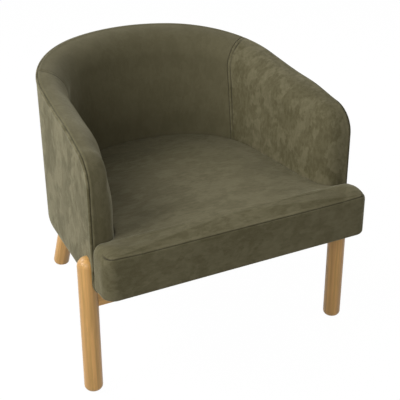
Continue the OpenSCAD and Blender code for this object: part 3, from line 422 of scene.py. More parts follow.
def graded(length, step, fine=0.0005, both=False):
    """Distances from 0 to length, close together at the sewn edges and a step apart between them."""
    marks, at, gap = [0.0], 0.0, fine
    while at + gap < (length / 2 if both else length):
        at += gap
        marks.append(at)
        gap = min(step, gap * 1.25)
    if both:
        return np.array(marks + [length - m for m in reversed(marks)])
    return np.array(marks[:-1] + [length])


def inside_grids(stations, targets, top, shares, start):
    """Outer side and foam side of an inside panel: rows run from the rim's seam down to the deck."""
    st = stations[None, :, :]
    t = top[:, None]
    depth, inset, _, knee = section(t, st[..., 4], start)
    z = st[..., 1] + inset * st[..., 3]
    run = st[..., 0] + inset * st[..., 2]
    over = wall(run, z, drawn_in(depth, z) - rounded_off(run, z), depth / wall_t, 1.0)
    k = np.clip((t - knee) / (1 - knee), 0, 1)
    j = np.clip(t / knee, 0, 1)
    bed_inset = foam_inset + (st[..., 4] - foam_inset) * k
    bed_depth = np.where(t < knee, foam_depth + (board_depth - foam_depth) * j, panel_depth)
    bed_depth = np.where((t >= knee) & (k < 0.08), board_depth + (panel_depth - board_depth) * k / 0.08,
                         bed_depth)
    z = st[..., 1] + bed_inset * st[..., 3]
    under = wall(st[..., 0] + bed_inset * st[..., 2], z, drawn_in(bed_depth, z), 0.0, 1.0)
    w = shares[1:, None]
    r = st[..., 4]
    run = (st[..., 0] + r * st[..., 2]) * (1 - w) + targets[None, :, 0] * w
    z = (st[..., 1] + r * st[..., 3]) * (1 - w) + targets[None, :, 1] * w
    face = wall(run, z, drawn_in(np.full_like(z, wall_t), z) - rounded_off(run, z), 1.0, 1 - w)
    bed = wall(run, z, drawn_in(np.full_like(z, panel_depth), z), 0.0, 1 - w)
    return np.concatenate([over, face]), np.concatenate([under, bed])


def outward(over, under):
    """The direction out of a grid's surface, away from the grid under it."""
    across = np.gradient(over, axis=0)
    along = np.gradient(over, axis=1)
    normal = np.cross(across, along)
    normal /= np.maximum(length_of(normal, keepdims=True), 1e-12)
    side = np.sign(np.sum(normal * (over - under)))
    return normal * side


def travelled(grid):
    """Distance of each point from the first row, along its own column."""
    step = length_of(np.diff(grid, axis=0))
    return np.concatenate([np.zeros((1, *step.shape[1:])), np.cumsum(step, axis=0)])


def distance_rows(over):
    """Distance of each point from the first row, and from the first and the last column."""
    left = travelled(over.swapaxes(0, 1)).T
    return travelled(over), left, left[:, -1:] - left


def shell_faces(rows, cols):
    """The faces of two grids of rows by cols, one above the other, joined round the edge."""
    count = rows * cols
    a = np.arange(count).reshape(rows, cols)
    quads = np.stack([a[:-1, :-1], a[:-1, 1:], a[1:, 1:], a[1:, :-1]], -1).reshape(-1, 4)
    edge = np.concatenate([a[0, :-1], a[:-1, -1], a[-1, :0:-1], a[:0:-1, 0]])
    after = np.roll(edge, -1)
    walls = np.stack([edge, edge + count, after + count, after], -1)
    return np.concatenate([quads, (quads + count)[:, ::-1], walls]).tolist()


def both_sides(over, under):
    """The points of both grids in one list, the outer ones first."""
    return np.concatenate([over.reshape(-1, 3), under.reshape(-1, 3)])


def skin(name, points, faces, shade_share, material):
    """A closed piece, with the painted shade of its outer points, in seams and creases, kept for the finish.
    """
    mesh = bpy.data.meshes.new(name)
    mesh.from_pydata(points.tolist(), [], faces)
    share = mesh.attributes.new("seam", "FLOAT", "POINT")
    share.data.foreach_set("value", np.pad(shade_share.ravel(), (0, len(points) - shade_share.size)).astype(np.float32))
    return placed(name, mesh, material)


def panel(name, over, under, shade_share, material):
    return skin(name, both_sides(over, under), shell_faces(*over.shape[:2]), shade_share, material)


voxel, last_step, neighbours = 0.0065, 20, 5


def inflated(points, faces):
    """The points of an even copy of the piece, before and after a cloth run with air pressed in."""
    mesh = bpy.data.meshes.new("filling")
    mesh.from_pydata(points.tolist(), [], faces)
    shape = in_scene("filling", mesh)
    voxels = shape.modifiers.new("voxels", "REMESH")
    voxels.mode, voxels.voxel_size = "VOXEL", voxel
    graph = bpy.context.evaluated_depsgraph_get()
    shape.data = bpy.data.meshes.new_from_object(shape.evaluated_get(graph))
    shape.modifiers.clear()
    cloth = shape.modifiers.new("cloth", "CLOTH").settings
    cloth.use_pressure = True
    cloth.uniform_pressure_force = 4
    cloth.effector_weights.gravity = 0
    cloth.quality = 4
    before = np.empty(len(shape.data.vertices) * 3, np.float32)
    shape.data.vertices.foreach_get("co", before)
    for step in range(1, last_step + 1):
        bpy.context.scene.frame_set(step)
    graph = bpy.context.evaluated_depsgraph_get()
    after = np.empty_like(before)
    shape.evaluated_get(graph).data.vertices.foreach_get("co", after)
    bpy.data.objects.remove(shape)
    bpy.context.scene.frame_set(1)
    return before.reshape(-1, 3), after.reshape(-1, 3)


def swollen(points, faces, most):
    """How far each point moves when the piece is filled like a cushion, and no further than most."""
    before, after = inflated(points, faces)
    moved = after - before
    far = length_of(moved, keepdims=True)
    moved *= np.minimum(1, most / np.maximum(far, 1e-9))
    tree = kdtree.KDTree(len(before))
    for number, point in enumerate(before):
        tree.insert(point, number)
    tree.balance()
    result = np.zeros_like(points)
    for number, point in enumerate(points):
        near = tree.find_n(point, neighbours)
        share = np.array([1 / (gap + 0.002) for _, _, gap in near])
        result[number] = share @ moved[[one for _, one, _ in near]] / share.sum()
    return result


def smoothed(grid, times, round_way=False):
    """Evens out a grid of values, whose columns meet again where the piece goes round."""
    for _ in range(times):
        padded = np.pad(grid, ((1, 1), (0, 0)), "edge")
        grid = (padded[:-2] + 2 * grid + padded[2:]) / 4
        padded = np.pad(grid, ((0, 0), (1, 1)), "wrap" if round_way else "edge")
        grid = (padded[:, :-2] + 2 * grid + padded[:, 2:]) / 4
    return grid


def filled(over, under, most, free):
    """The outer side after the filling has swelled it, where it is free to move."""
    moved = swollen(both_sides(over, under), shell_faces(*over.shape[:2]), most)
    moved = moved[:over.size // 3].reshape(over.shape)
    out = outward(over, under)
    lift = smoothed(np.clip(np.sum(moved * out, -1), 0, most), 6)
    return over + out * (lift * free)[..., None]


def pulled_in(distance, depth=0.0016, width=0.0014, roll=0.0):
    """How far the cloth dips at a seam, and how much painted shade darkens its groove, by distance from the
    stitch line.
    Beside it the turned-in edges below raise the cloth by the roll."""
    dip = depth * np.exp(-(distance / width) ** 1.6) - roll * np.exp(-((distance - 0.005) / 0.004) ** 2)
    return dip, np.exp(-(distance / (width * 0.8)) ** 2)


def sewn_edges(down, beside, depth):
    """Dip of a panel's seams and the painted shade in their grooves, along the rim and at its upright edges.
    """
    dip_rim, dark_rim = pulled_in(down, roll=0.0014)
    dip_side, dark_side = pulled_in(beside, depth, 0.0011)
    return dip_rim + dip_side, np.maximum(dark_rim * 0.7, dark_side)


seam_start = 70 * deg
back_swell, arm_swell, seat_swell = 0.004, 0.003, 0.004
rest_h, rim_fade, side_fade = 0.43, 0.06, 0.05
back_top = graded(section(np.array(1.0), inner_r, seam_start)[2], 0.005)
back_top = back_top / back_top[-1]
back_runs = sewn_run - graded(2 * sewn_run, 0.006, both=True)
stations = rim_stations(back_runs)
targets = np.stack([back_runs, np.full_like(back_runs, deck_h + play)], -1)
over, under = inside_grids(stations, targets, back_top, np.linspace(0, 1, 50), seam_start)
down, left, right = distance_rows(over)
dip, dark = sewn_edges(down, np.minimum(left, right), 0.0014)
free = ease(down / rim_fade) * ease(np.minimum(left, right) / side_fade)
free = free * ease((over[..., 2] - rest_h) / rim_fade)
over = filled(over, under, back_swell, free)
over = over - outward(over, under) * dip[..., None]
# Painted shade: the inside back gets a darker copy of the cloth, with faint patches, as it sits in shade.
inside_back = panel("inside_back", over, under, dark,
                    suede("suede_inside_back", (1, 1, 0.7), 3.1, 0.22, 0.85))
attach(inside_back, "root")
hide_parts("inside_back_cover", "back_foam")


# Inside arms. The same foam and cloth over each arm panel: up the arm's front, round its top corner
# and along the rim to the back seam. That seam is flat-felled, with two rows of stitching nine
# millimetres apart, and the front edge tapers into the lower edge behind the leg.
arm_corner_run = front_run - rim_corner_r
arm_corner_h = float(rim_h(arm_corner_run) - rim_corner_r / np.cos(rim_angle(arm_corner_run)))
arm_sweep = math.pi / 2 - float(rim_angle(arm_corner_run))


def arm_stations(lowest, until):
    """Stations up the front edge, round the corner and back along the rim."""
    z = np.linspace(lowest, arm_corner_h, 52)
    r = nose_r + (inner_r - nose_r) * np.clip((z - seat_edge_h) / (arm_corner_h - seat_edge_h), 0, 1)
    split = ease((z - side_low + 0.004) / 0.03)
    front = np.stack([np.full_like(z, front_run), z, -np.ones_like(z), np.zeros_like(z), r, split], -1)
    a = np.linspace(0, arm_sweep, 20)[1:]
    corner = np.stack([arm_corner_run + rim_corner_r * np.cos(a), arm_corner_h + rim_corner_r * np.sin(a),
                       -np.cos(a), -np.sin(a), np.full_like(a, inner_r), np.ones_like(a)], -1)
    begin = arm_corner_run + rim_corner_r * math.cos(arm_sweep)
    along = begin - (begin - until) * (1 - graded(1.0, 0.014, 0.0015)[::-1])[1:]
    return np.concatenate([front, corner, rim_stations(along)])


def arm_targets(stations, level, inset):
    """Where each station's line down the wall ends: at the front edge, or spread along the deck."""
    low = (stations[:, 1] <= level) & (stations[:, 0] >= front_run - 1e-9)
    fan = ~low & (stations[:, 0] > side_run)
    first = front_run - inset
    ends = stations[:, :2].copy()
    ends[low, 0], ends[~low, 1] = first, level
    ends[fan, 0] = first + (side_run - first) * (np.arange(1, fan.sum() + 1) / (fan.sum() + 1))
    return ends


def surface_line(grid, distance, at, lift):
    """The line on a grid's surface at one distance from its last column, lifted clear of it."""
    raised = grid + outward(grid, grid - [0, 0, 0.01]) * lift
    return np.array([[np.interp(at, far[::-1], row[::-1, axis]) for axis in range(3)]
                     for row, far in zip(raised, distance)])


def thread_finish():
    made, tree, shader = finish_of("sewing_thread", Roughness=0.6)
    twist = speckle(tree, place_of(tree), 1500.0, 1.0)
    colour = mix_of(tree, twist, (0.035, 0.03, 0.016), (0.08, 0.07, 0.04))
    surfaced(tree, shader, colour, (twist, 0.3, 0.0002))
    return made


def row_of(form):
    """A node group that sets copies of one small form at even steps along a line."""
    group = bpy.data.node_groups.new("row_of_" + form, "GeometryNodeTree")
    for label, kind in (("Line", "Geometry"), ("Spacing", "Float"), ("Size", "Vector"), ("Turn", "Float"),
                        ("Seed", "Int"), ("Finish", "Material")):
        group.interface.new_socket(label, in_out="INPUT", socket_type="NodeSocket" + kind)
    group.interface.new_socket("Row", in_out="OUTPUT", socket_type="NodeSocketGeometry")
    given = group.nodes.new("NodeGroupInput").outputs
    curve = put(group, "GeometryNodeMeshToCurve", {"Mesh": given["Line"]})
    steps = put(group, "GeometryNodeCurveToPoints", {"Curve": curve.outputs[0], "Length": given["Spacing"]},
                mode="LENGTH")
    if form == "ball":
        one = put(group, "GeometryNodeMeshUVSphere", {"Segments": 8, "Rings": 5, "Radius": 1.0})
    else:
        one = put(group, "GeometryNodeMeshCube", {"Size": (1, 1, 1)})
    copies = put(group, "GeometryNodeInstanceOnPoints", {
        "Points": steps.outputs["Points"], "Instance": one.outputs["Mesh"],
        "Rotation": steps.outputs["Rotation"], "Scale": given["Size"]})
    other_way = put(group, "ShaderNodeMath", {0: given["Turn"], 1: -1.0}, operation="MULTIPLY")
    chance = put(group, "FunctionNodeRandomValue", {"Min": other_way.outputs[0], "Max": given["Turn"],
                                                    "Seed": given["Seed"]}, data_type="FLOAT_VECTOR")
    turned = put(group, "GeometryNodeRotateInstances", {"Instances": copies.outputs[0],
                                                        "Rotation": chance.outputs["Value"]})
    real = put(group, "GeometryNodeRealizeInstances", {"Geometry": turned.outputs[0]})
    done = put(group, "GeometryNodeSetMaterial", {"Geometry": real.outputs[0], "Material": given["Finish"]})
    group.links.new(done.outputs[0], group.nodes.new("NodeGroupOutput").inputs[0])
    return group


def strung(name, lines, form, material, values):
    """A plain mesh of small forms set along lines by the node group."""
    mesh, count = bpy.data.meshes.new(name + "_lines"), 0
    points, edges = [], []
    for line in lines:
        points += line.tolist()
        edges += [(count + k, count + k + 1) for k in range(len(line) - 1)]
        count += len(line)
    mesh.from_pydata(points, edges, [])
    path = in_scene(name + "_lines", mesh)
    row = path.modifiers.new("row", "NODES")
    row.node_group = row_of(form)
    sockets = {item.name: item.identifier for item in row.node_group.interface.items_tree
               if item.in_out == "INPUT"}
    for label, value in {**values, "Finish": material}.items():
        row[sockets[label]] = value
    graph = bpy.context.evaluated_depsgraph_get()
    made = in_scene(name, bpy.data.meshes.new_from_object(path.evaluated_get(graph)))
    made.data.name = name
    bpy.data.objects.remove(path)
    return made


stitch_gap = 0.009
stations = arm_stations(under_h + 0.006, sewn_run)
targets = arm_targets(stations, deck_h + play, nose_r + cloth_t + play)
start = seam_start * stations[None, :, 5]
over, under = inside_grids(stations, targets, back_top, np.linspace(0, 1, 56), start)
down, _, right = distance_rows(over)
dip, dark = sewn_edges(down, right, 0.0014)
dip_second, dark_second = pulled_in(np.abs(right - stitch_gap), 0.0010, 0.0011)
free = ease((down - 0.01) / rim_fade) * ease((right - 0.01) / side_fade)
free = free * ease((over[..., 2] - rest_h) / rim_fade)
over = filled(over, under, arm_swell, free)
# Between its two rows of stitching the seam lies a little higher, over its turned-in edges.
lifted = 0.0005 * ease(right / 0.002) * ease((stitch_gap - 0.0002 - right) / 0.002)
over = over - outward(over, under) * (dip + dip_second - lifted)[..., None]
dark = np.maximum(dark, dark_second)
topstitch = surface_line(over, right, stitch_gap, 0.0002)
# The inside arm in the light gets more painted sheen in its patches than the one in shade.
for side, turned, sheen_contrast in (("right", 1, 0.75), ("left", -1, 0.4)):
    inside_arm = panel("inside_arm_" + side, over * (turned, 1, 1), under * (turned, 1, 1), dark,
                       suede("suede_inside_arm_" + side, (1, 1, 0.75), 5.7 * turned, sheen_contrast))
    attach(inside_arm, "root")
    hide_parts("inside_arm_cover_" + side, "arm_foam_" + side)

stitches = strung("stitches_arm_seams", [topstitch, topstitch * (-1, 1, 1)], "ball", thread_finish(),
                  {"Spacing": 0.0042, "Size": (0.00035, 0.00035, 0.0016), "Turn": 0.06, "Seed": 7})
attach(stitches, "root")


# Outside back and outside arms. Single layers of the same cloth pulled tight over the board and the
# arm panels, sewn along the rim and at the upright seams, rolled round the lower edge and stapled
# under the frame.
hem_w = 0.024


def outside_grid(stations, targets, layer):
    """Rows from the rim's seam round the outer edge, down the face, round the foot and under, at one
    layer's depth in the cloth."""
    st = stations[None, :, :]
    a = seam_start * (1 - np.linspace(0, 1, 12))[:, None]
    r = outer_r - layer
    depth, inset = outer_r - r * np.cos(a), outer_r - r * np.sin(a)
    z = st[..., 1] + inset * st[..., 3]
    edge = wall(st[..., 0] + inset * st[..., 2], z, drawn_in(depth, z), 0.0, 1.0)
    w = np.linspace(0, 1, 66)[1:, None]
    run = (st[..., 0] + outer_r * st[..., 2]) * (1 - w) + targets[None, :, 0] * w
    z = (st[..., 1] + outer_r * st[..., 3]) * (1 - w) + targets[None, :, 1] * w
    sides = wall(run, z, drawn_in(np.full_like(z, layer), z), 0.0, 1 - w)
    a = np.linspace(0, math.pi / 2, 12)[1:, None]
    r = lower_r - layer
    t = targets[None, :, :]
    low = t[..., 1] >= side_low - 1e-9
    foot = wall(t[..., 0] + 0 * a, np.where(low, side_low - r * np.sin(a), t[..., 1]),
                np.where(low, lower_r - r * np.cos(a), 0), 0.0, 0.0)
    hem = wall(t[..., 0], under_h + layer, lower_r + hem_w, 0.0, 0.0)
    return np.concatenate([edge, sides, foot, hem])


def pulled_tight(stations, targets, two_edges):
    """Both sides of an outside panel with its seams drawn in and the painted shade in them, and the width,
    length and area of the flat cloth that it was cut from."""
    over, under = (outside_grid(stations, targets, layer) for layer in (0.0, cloth_t))
    down, left, right = distance_rows(over)
    across = length_of(np.diff(over[..., :2], axis=1)).sum(axis=1).max()
    halves = length_of(np.cross(over[1:, 1:] - over[:-1, :-1], over[1:, :-1] - over[:-1, 1:]))
    dip, dark = sewn_edges(down, np.minimum(left, right) if two_edges else right, 0.0012)
    dip = outward(over, under) * dip[..., None]
    return over - dip, under - dip, dark, (float(across), float(down[-1].max())), float(halves.sum() / 2)


back_out_runs = (sewn_run + play) - graded(2 * (sewn_run + play), 0.006, both=True)
stations = rim_stations(back_out_runs)
targets = np.stack([back_out_runs, np.full_like(back_out_runs, side_low)], -1)
over, under, dark, flat, area = pulled_tight(stations, targets, True)
outside_back = panel("outside_back", over, under, dark,
                     suede("suede_outside_back", (1, 1, 0.62), 9.3, 0.7))
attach(outside_back, "root")
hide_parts("outside_back_cover")

stations = arm_stations(side_low, sewn_run)
stations[:, 5] = 1.0
targets = arm_targets(stations, side_low, 0.0096)
targets[:, 1] = side_low
over, under, dark, flat, area = pulled_tight(stations, targets, False)
for side, turned in (("right", 1), ("left", -1)):
    outside_arm = panel("outside_arm_" + side, over * (turned, 1, 1), under * (turned, 1, 1), dark,
                        suede("suede_outside_arm_" + side, (1, 0.6, 0.5), 12.1 * turned, 1.35))
    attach(outside_arm, "root")
    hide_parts("outside_arm_cover_" + side)


# Seat. A crowned foam pad and the same cloth over the whole seat frame, T-shaped in plan, with its
# two ends reaching round the arm fronts. The top is sewn to the front band along the crisp front
# edge; at the ends the cloth rolls over without a seam and gathers in small tucks at the corners.
seat_half = half_w + (side_y - arm_front_y) * math.tan(flare) + 0.0034
seat_rear_y = arm_front_y - play
seat_low, seat_foot_h, seat_hem_h, seat_crown = 0.3065, deck_h + 0.0023, 0.3113, 0.011
seat_front_r, seat_rear_r = 0.030, 0.026
front_roll, end_roll, heel_roll, lower_roll = 0.007, 0.024, 0.012, 0.008
SeatPoint = namedtuple("SeatPoint", "part place roll low side")


def seat_outline():
    """Points round the pad: the part of the outline, place on it, upper roll, lower level and side."""
    half = [("front", share, front_roll, seat_low) for share in np.linspace(0, 1, 50)[:-1]]
    half += [("front_corner", turn, front_roll + (end_roll - front_roll) * ease((turn + 90) / 90), seat_low)
             for turn in np.linspace(-90, 0, 20)]
    half += [("end", share, end_roll, seat_low) for share in np.linspace(0, 1, 7)[1:-1]]
    half += [("rear_corner", turn, end_roll - (end_roll - heel_roll) * ease(turn / 90), seat_low)
             for turn in np.linspace(0, 90, 14)]
    half += [("nose", turn, heel_roll - (heel_roll - front_roll) * ease((90 - turn) / 45),
              seat_low if turn > 60 else seat_foot_h) for turn in np.linspace(90, 0, 18)]
    runs = np.concatenate([np.linspace(front_run - nose_r, side_run, 40)[1:],
                           np.linspace(side_run, 0, 76)[1:]])
    half += [("wall", run, front_roll, seat_foot_h) for run in runs]
    right = [SeatPoint(*values, 1) for values in half]
    return right + [key._replace(side=-1) for key in right[-2:0:-1]]


def corner_of(x, y, way, r, inset, angle):
    left = np.maximum(r - inset, 0.0006)
    return x - inset - left + left * math.cos(angle), y - way * (inset + left) + left * math.sin(angle)


def seat_point(key, z, inset):
    """The point of the outline at one height, moved in from the pad's side by the inset."""
    place = key.place
    if key.part == "front":
        x, y = place * (seat_half - seat_front_r), front_y + inset
    elif key.part == "front_corner":
        x, y = corner_of(seat_half, front_y, -1, seat_front_r, inset, place * deg)
    elif key.part == "end":
        x = seat_half - inset
        y = (front_y + seat_front_r) * (1 - place) + (seat_rear_y - seat_rear_r) * place
    elif key.part == "rear_corner":
        x, y = corner_of(seat_half, seat_rear_y, 1, seat_rear_r, inset, place * deg)
    elif key.part == "nose":
        reach = nose_r + play + inset
        depth = wall_t - nose_r + reach * math.cos(place * deg)
        run = front_run - nose_r + reach * math.sin(place * deg)
        x, y, z = wall(run, z, depth - rounded_off(run, z), min(1.0, depth / wall_t), 0.0)
    else:
        x, y, z = wall(place, z, wall_t + play + inset - rounded_off(place, z), 1.0, 0.0)
    return key.side * x, y, z


keys = seat_outline()
middle = np.array([0, front_y + 0.053, 0])


def seat_ring(level_of, inset_of):
    return np.array([seat_point(key, level_of(key), inset_of(key)) for key in keys])


def hangs(key):
    """Whether the pad reaches down over the frame at this point, as it does in front of the arms."""
    return key.low == seat_low


def evened(rings, values, times, rise=0.0):
    """Evens out values on the pad's rings, as its filling does, and keeps those at the edge."""
    step = length_of(np.diff(rings[..., :2], axis=0))
    beside = length_of(rings[..., :2] - np.roll(rings[..., :2], 1, axis=1))
    step, beside = 1 / np.maximum(step, 0.001) ** 2, 1 / np.maximum(beside, 0.001) ** 2
    after = np.roll(beside, -1, axis=1)
    total = step[:-1] + step[1:] + beside[1:-1] + after[1:-1]
    values = values.copy()
    for _ in range(times):
        near = step[:-1] * values[:-2] + step[1:] * values[2:]
        near += beside[1:-1] * np.roll(values, 1, axis=1)[1:-1]
        near += after[1:-1] * np.roll(values, -1, axis=1)[1:-1]
        values[1:-1] = near / total + rise
        values[0] = values[1].mean()
    return values


def crown_rings():
    """The top from its middle to its edge, crowned by the filling."""
    edge = seat_ring(lambda key: seat_edge_h, lambda key: key.roll)
    share = np.concatenate([np.linspace(0.04, 0.9, 34), np.linspace(0.9, 1, 9)[1:]])[:, None, None]
    rings = middle * (1 - share) + edge * share
    rings[..., 2] = edge[:, 2] + seat_crown * (1 - share[..., 0] ** 2)
    high = evened(rings, rings[..., 2] - rings[-1:, :, 2], 500, 2e-7)
    rings[..., 2] = rings[-1:, :, 2] + high * seat_crown / high.max()
    return list(rings)


def side_rings():
    """The roll over the edge, the sides and the roll at their foot."""
    rings = []
    for turn in np.linspace(90, 0, 11)[1:]:
        up, out = math.sin(turn * deg), math.cos(turn * deg)
        rings.append(seat_ring(lambda key: seat_edge_h - key.roll + key.roll * up,
                               lambda key: key.roll - key.roll * out))
    high = rings[-1][:, 2].copy()
    foot = seat_ring(lambda key: key.low + lower_roll, lambda key: 0.0)
    for share in np.linspace(0, 1, 16)[1:]:
        rings.append(np.column_stack([foot[:, :2], high * (1 - share) + foot[:, 2] * share]))
    for turn in np.linspace(0, 90, 7)[1:]:
        down, out = math.sin(turn * deg), math.cos(turn * deg)
        rings.append(seat_ring(
            lambda key: key.low + lower_roll * (1 - (down if hangs(key) else turn / 90)),
            lambda key: lower_roll - lower_roll * out if hangs(key) else 0.0))
    return rings


def under_rings():
    """The hem under the frame's edge, the hollow that the frame fills, and the bed on the webbing."""
    rings = []
    for level, inward in ((seat_hem_h, 0.015), (seat_hem_h, 0.032), (seat_hem_h + cloth_t, 0.032),
                          (seat_hem_h + cloth_t, 0.0123), (deck_h + play, 0.0123)):
        rings.append(seat_ring(
            lambda key: level if hangs(key) else deck_h + 0.0015,
            lambda key: min(inward, 0.010 if key.part == "nose" else inward) if hangs(key) else 0.0))
    for share in (0.7, 0.35, 0.05):
        ring = middle * (1 - share) + rings[-1] * share
        ring[:, 2] = deck_h + play
        rings.append(ring)
    return rings


def ring_faces(rows, count):
    """The faces of closed rings, with a fan over the first and the last."""
    a = np.arange(rows * count).reshape(rows, count)
    b = np.roll(a, -1, axis=1)
    quads = np.stack([a[:-1], b[:-1], b[1:], a[1:]], -1).reshape(-1, 4).tolist()
    fans = [[rows * count, int(q), int(p)] for p, q in zip(a[0], b[0])]
    return quads + fans + [[rows * count + 1, int(p), int(q)] for p, q in zip(a[-1], b[-1])]


def with_middles(rings):
    """The points of all rings, and a middle point for the first and the last."""
    return np.concatenate([rings.reshape(-1, 3), [rings[0].mean(axis=0)], [rings[-1].mean(axis=0)]])


def rounded_piece(name, rings, shade_share, material):
    return skin(name, with_middles(rings), ring_faces(*rings.shape[:2]), shade_share, material)


rings = crown_rings()
edge_row = len(rings)
seam_row = edge_row + 4
rings = np.array(rings + side_rings() + under_rings())
down = travelled(rings)
line = down[seam_row]
out = np.cross(np.roll(rings, -1, axis=1) - np.roll(rings, 1, axis=1), np.gradient(rings, axis=0))
out /= np.maximum(length_of(out, keepdims=True), 1e-12)
out *= np.sign(out[3, 5, 2])

# The filling swells the top, and most the ends in front of the arms.
free = np.zeros(rings.shape[:2])
free[:edge_row] = ease((line - down[:edge_row]) / 0.07)
moved = swollen(with_middles(rings), ring_faces(*rings.shape[:2]), seat_swell)[:-2].reshape(rings.shape)
lift = smoothed(np.clip(np.sum(moved * out, -1), 0, seat_swell), 6, True) * free
lift[:edge_row] = evened(rings[:edge_row], lift[:edge_row], 250)
ends = np.exp(-(np.maximum(seat_half - seat_rear_r - np.abs(rings[..., 0]), 0) / 0.04) ** 2
              - ((rings[..., 1] - (front_y + arm_front_y) / 2) / 0.034) ** 2)
rings = rings + out * lift[..., None]
rings[..., 2] += 0.0105 * ends * ease((rings[..., 2] - seat_edge_h + 0.045) / 0.045)

# The seam runs along the front edge and dies out round the corners, where the cloth is tucked.
turns = np.array([key.place if key.part == "front_corner" else -200.0 for key in keys])
fade = np.array([1.0 if key.part == "front" else 0.0 for key in keys])
fade = np.where(turns > -100, ease((10 - turns) / 55), fade)
dip, dark = pulled_in(np.abs(down - line), 0.0014, 0.0012)
tucks = 0.0009 * np.maximum(0, np.sin((turns + 90) * 0.21)) * (turns > -100) * ease((turns + 90) / 15)
tucks = tucks * np.exp(-((down - line - 0.004) / 0.012) ** 2)
rings = rings - out * (dip * fade + tucks)[..., None]
# Painted shade: along the crease where the seat meets the arms and the back, its colour is darkened.
beside_shell = np.array([0.45 if key.part in ("nose", "wall") else 0.0 for key in keys])
shade = np.exp(-(np.abs(down - line) / 0.006) ** 2) * beside_shell
seat = rounded_piece("seat", rings, np.maximum(dark * np.sqrt(fade), shade),
                     suede("suede_seat", (0.7, 1.15, 1), 20.4, 0.55))
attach(seat, "root")
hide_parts("seat_cover", "seat_foam", "seat_front_padding")


# Dust cloth. Thin black non-woven cloth that closes the underside, one sheet under the shell and
# one under the seat's front, turned in at the edge and stapled to the frame.
def dust_finish():
    made, tree, shader = finish_of("dust_cloth", Roughness=0.95)
    fibre = speckle(tree, place_of(tree), 800.0, 3.0, 0.7, 1.2)
    surfaced(tree, shader, mix_of(tree, fibre, (0.006,) * 3, (0.03,) * 3), (fibre, 0.3, 0.0004))
    return made


def ring_of(points, count):
    """The outline of a convex set of points in plan, in even steps."""
    middle = points.mean(axis=0)
    order = np.argsort(np.arctan2(points[:, 1] - middle[1], points[:, 0] - middle[0]))
    loop = points[order][:, :2]
    loop = np.vstack([loop, loop[:1]])
    far = travelled(loop)
    at = np.arange(count) * far[-1] / count
    return np.stack([np.interp(at, far, loop[:, axis]) for axis in (0, 1)], -1)


def sheet_rings(outline, low, high):
    """The cloth under and over, from its middle out: it sags, and is double where it is turned in."""
    middle = outline.mean(axis=0)
    levels = [(share, low + 0.0005 - cloth_sag * (1 - share ** 2))
              for share in (0.03, 0.15, 0.3, 0.45, 0.6, 0.75, 0.86, 0.93)]
    levels += [(share, low) for share in (0.955, 0.96, 1.0)]
    levels += [(share, high - cloth_sag * (1 - share ** 2)) for share in (1.0, 0.75, 0.4, 0.05)]
    return np.array([np.pad(middle + (outline - middle) * share, ((0, 0), (0, 1)), constant_values=level)
                     for share, level in levels])


cloth_sag = 0.0012
cloth_finish = dust_finish()
staple_finish = worn_finish("staple_wire", ((0.5, 0.5, 0.5), (0.62, 0.62, 0.6)), 700, 1, 0.4)
work = edit_of(nodes["dust_cover"].data)
sheets = [np.array([list(p.co) for p in group]) for group in solids_of(work)]
work.free()
for points in sorted(sheets, key=lambda sheet: sheet[:, 2].min()):
    part, rests_on = ("shell", "seat_back_rail") if points[:, 2].min() < 0.3 else ("seat", "seat_front_rail")
    low, high = points[:, 2].min(), points[:, 2].max()
    outline = ring_of(points, 220)
    rings = sheet_rings(outline, low, high)
    cloth = rounded_piece("dust_cloth_" + part, rings, np.zeros(rings.shape[:2]), cloth_finish)
    inward = outline.mean(axis=0) - outline
    line = outline + inward * 0.006 / length_of(inward, keepdims=True)
    line = np.column_stack([line, np.full(len(line), low - 0.0002)])
    staples = strung("staples_" + part, [np.vstack([line, line[:1]])], "block", staple_finish,
                     {"Spacing": 0.034, "Size": (0.0012, 0.0005, 0.010), "Turn": 0.05, "Seed": 3})
    after = np.roll(outline, -1, axis=0)
    area = abs(np.sum(outline[:, 0] * after[:, 1] - outline[:, 1] * after[:, 0])) / 2
    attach(cloth, "root")
    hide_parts("dust_cover")
    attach(staples, "root")


# Studio. A plain white floor and backdrop that keep the chair's soft shadow, with broad soft lights
# from the left and from behind on both sides, and two weaker ones from the front.
def seen_directly(tree):
    """1 for rays that come straight from the camera, or by way of a glossy or a clear piece."""
    path = put(tree, "ShaderNodeLightPath")
    seen = path.outputs["Is Camera Ray"]
    for other in ("Is Glossy Ray", "Is Transmission Ray"):
        seen = put(tree, "ShaderNodeMath", {0: seen, 1: path.outputs[other]}, operation="MAXIMUM").outputs[0]
    return seen


def shown_as(tree, share, plain, seen, output):
    """Sends a mix of two shaders to the material's or the world's output."""
    both = put(tree, "ShaderNodeMixShader", {0: share, 1: plain, 2: seen})
    tree.links.new(both.outputs[0], tree.nodes[output].inputs[0])


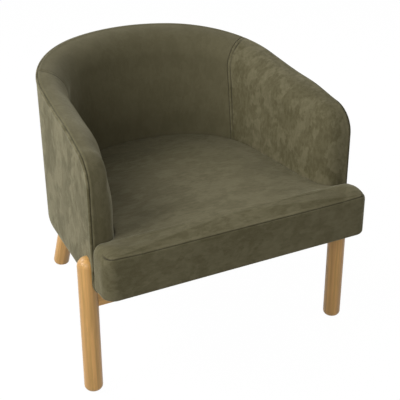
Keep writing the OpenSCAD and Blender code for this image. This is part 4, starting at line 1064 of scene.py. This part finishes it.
def white_ground():
    made, tree, shader = finish_of("studio_white", Base_Color=(0.3, 0.3, 0.3, 1), Roughness=0.9)
    glow = put(tree, "ShaderNodeEmission", {"Color": (1, 1, 1, 1), "Strength": 1.07})
    share = put(tree, "ShaderNodeMath", {0: seen_directly(tree), 1: 0.92}, operation="MULTIPLY")
    shown_as(tree, share.outputs[0], shader.outputs[0], glow.outputs[0], "Material Output")
    return made


ground = bpy.data.meshes.new("studio_floor")
ground.from_pydata([(-9, -9, 0), (9, -9, 0), (9, 9, 0), (-9, 9, 0)], [], [(0, 1, 2, 3)])
ground.materials.append(white_ground())
floor = in_scene("studio_floor", ground)
floor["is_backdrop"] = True

world = bpy.data.worlds.new("studio")
bpy.context.scene.world = world
world.use_nodes = True
tree = world.node_tree
dim = put(tree, "ShaderNodeBackground", {"Color": (1, 1, 1, 1), "Strength": 0.03})
bright = put(tree, "ShaderNodeBackground", {"Color": (1, 1, 1, 1), "Strength": 1.0})
shown_as(tree, seen_directly(tree), dim.outputs[0], bright.outputs[0], "World Output")


lit_point = Vector((0, 0, 0.4))
for name, place, power in (("left_light", (-2.4, -0.3, 1.9), 44), ("rear_left_light", (-1.6, 1.6, 2.4), 40),
                           ("rear_right_light", (1.6, 1.6, 2.4), 24),
                           ("front_left_light", (-1.6, -2.4, 1.6), 29),
                           ("front_right_light", (1.8, -2.2, 1.8), 12)):
    lamp = bpy.data.lights.new(name, "AREA")
    lamp.shape, lamp.size, lamp.energy = "DISK", 1.5, power
    light = in_scene(name, lamp)
    light.location = place
    light.rotation_euler = (lit_point - Vector(place)).to_track_quat("-Z", "Y").to_euler()

# The camera stands in front of the left arm, a little above the rim, as in the photograph.
lens = bpy.data.cameras.new("camera")
lens.sensor_width, lens.lens, lens.clip_end = 36, 86.98, 60
camera = in_scene("camera", lens)
camera.location = -1.0168, -2.0471, 1.4491
camera.rotation_euler = (90 - 26.36) * deg, 0, -28.21 * deg
bpy.context.scene.camera = camera
bpy.context.scene.view_settings.view_transform = "Standard"

low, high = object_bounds()
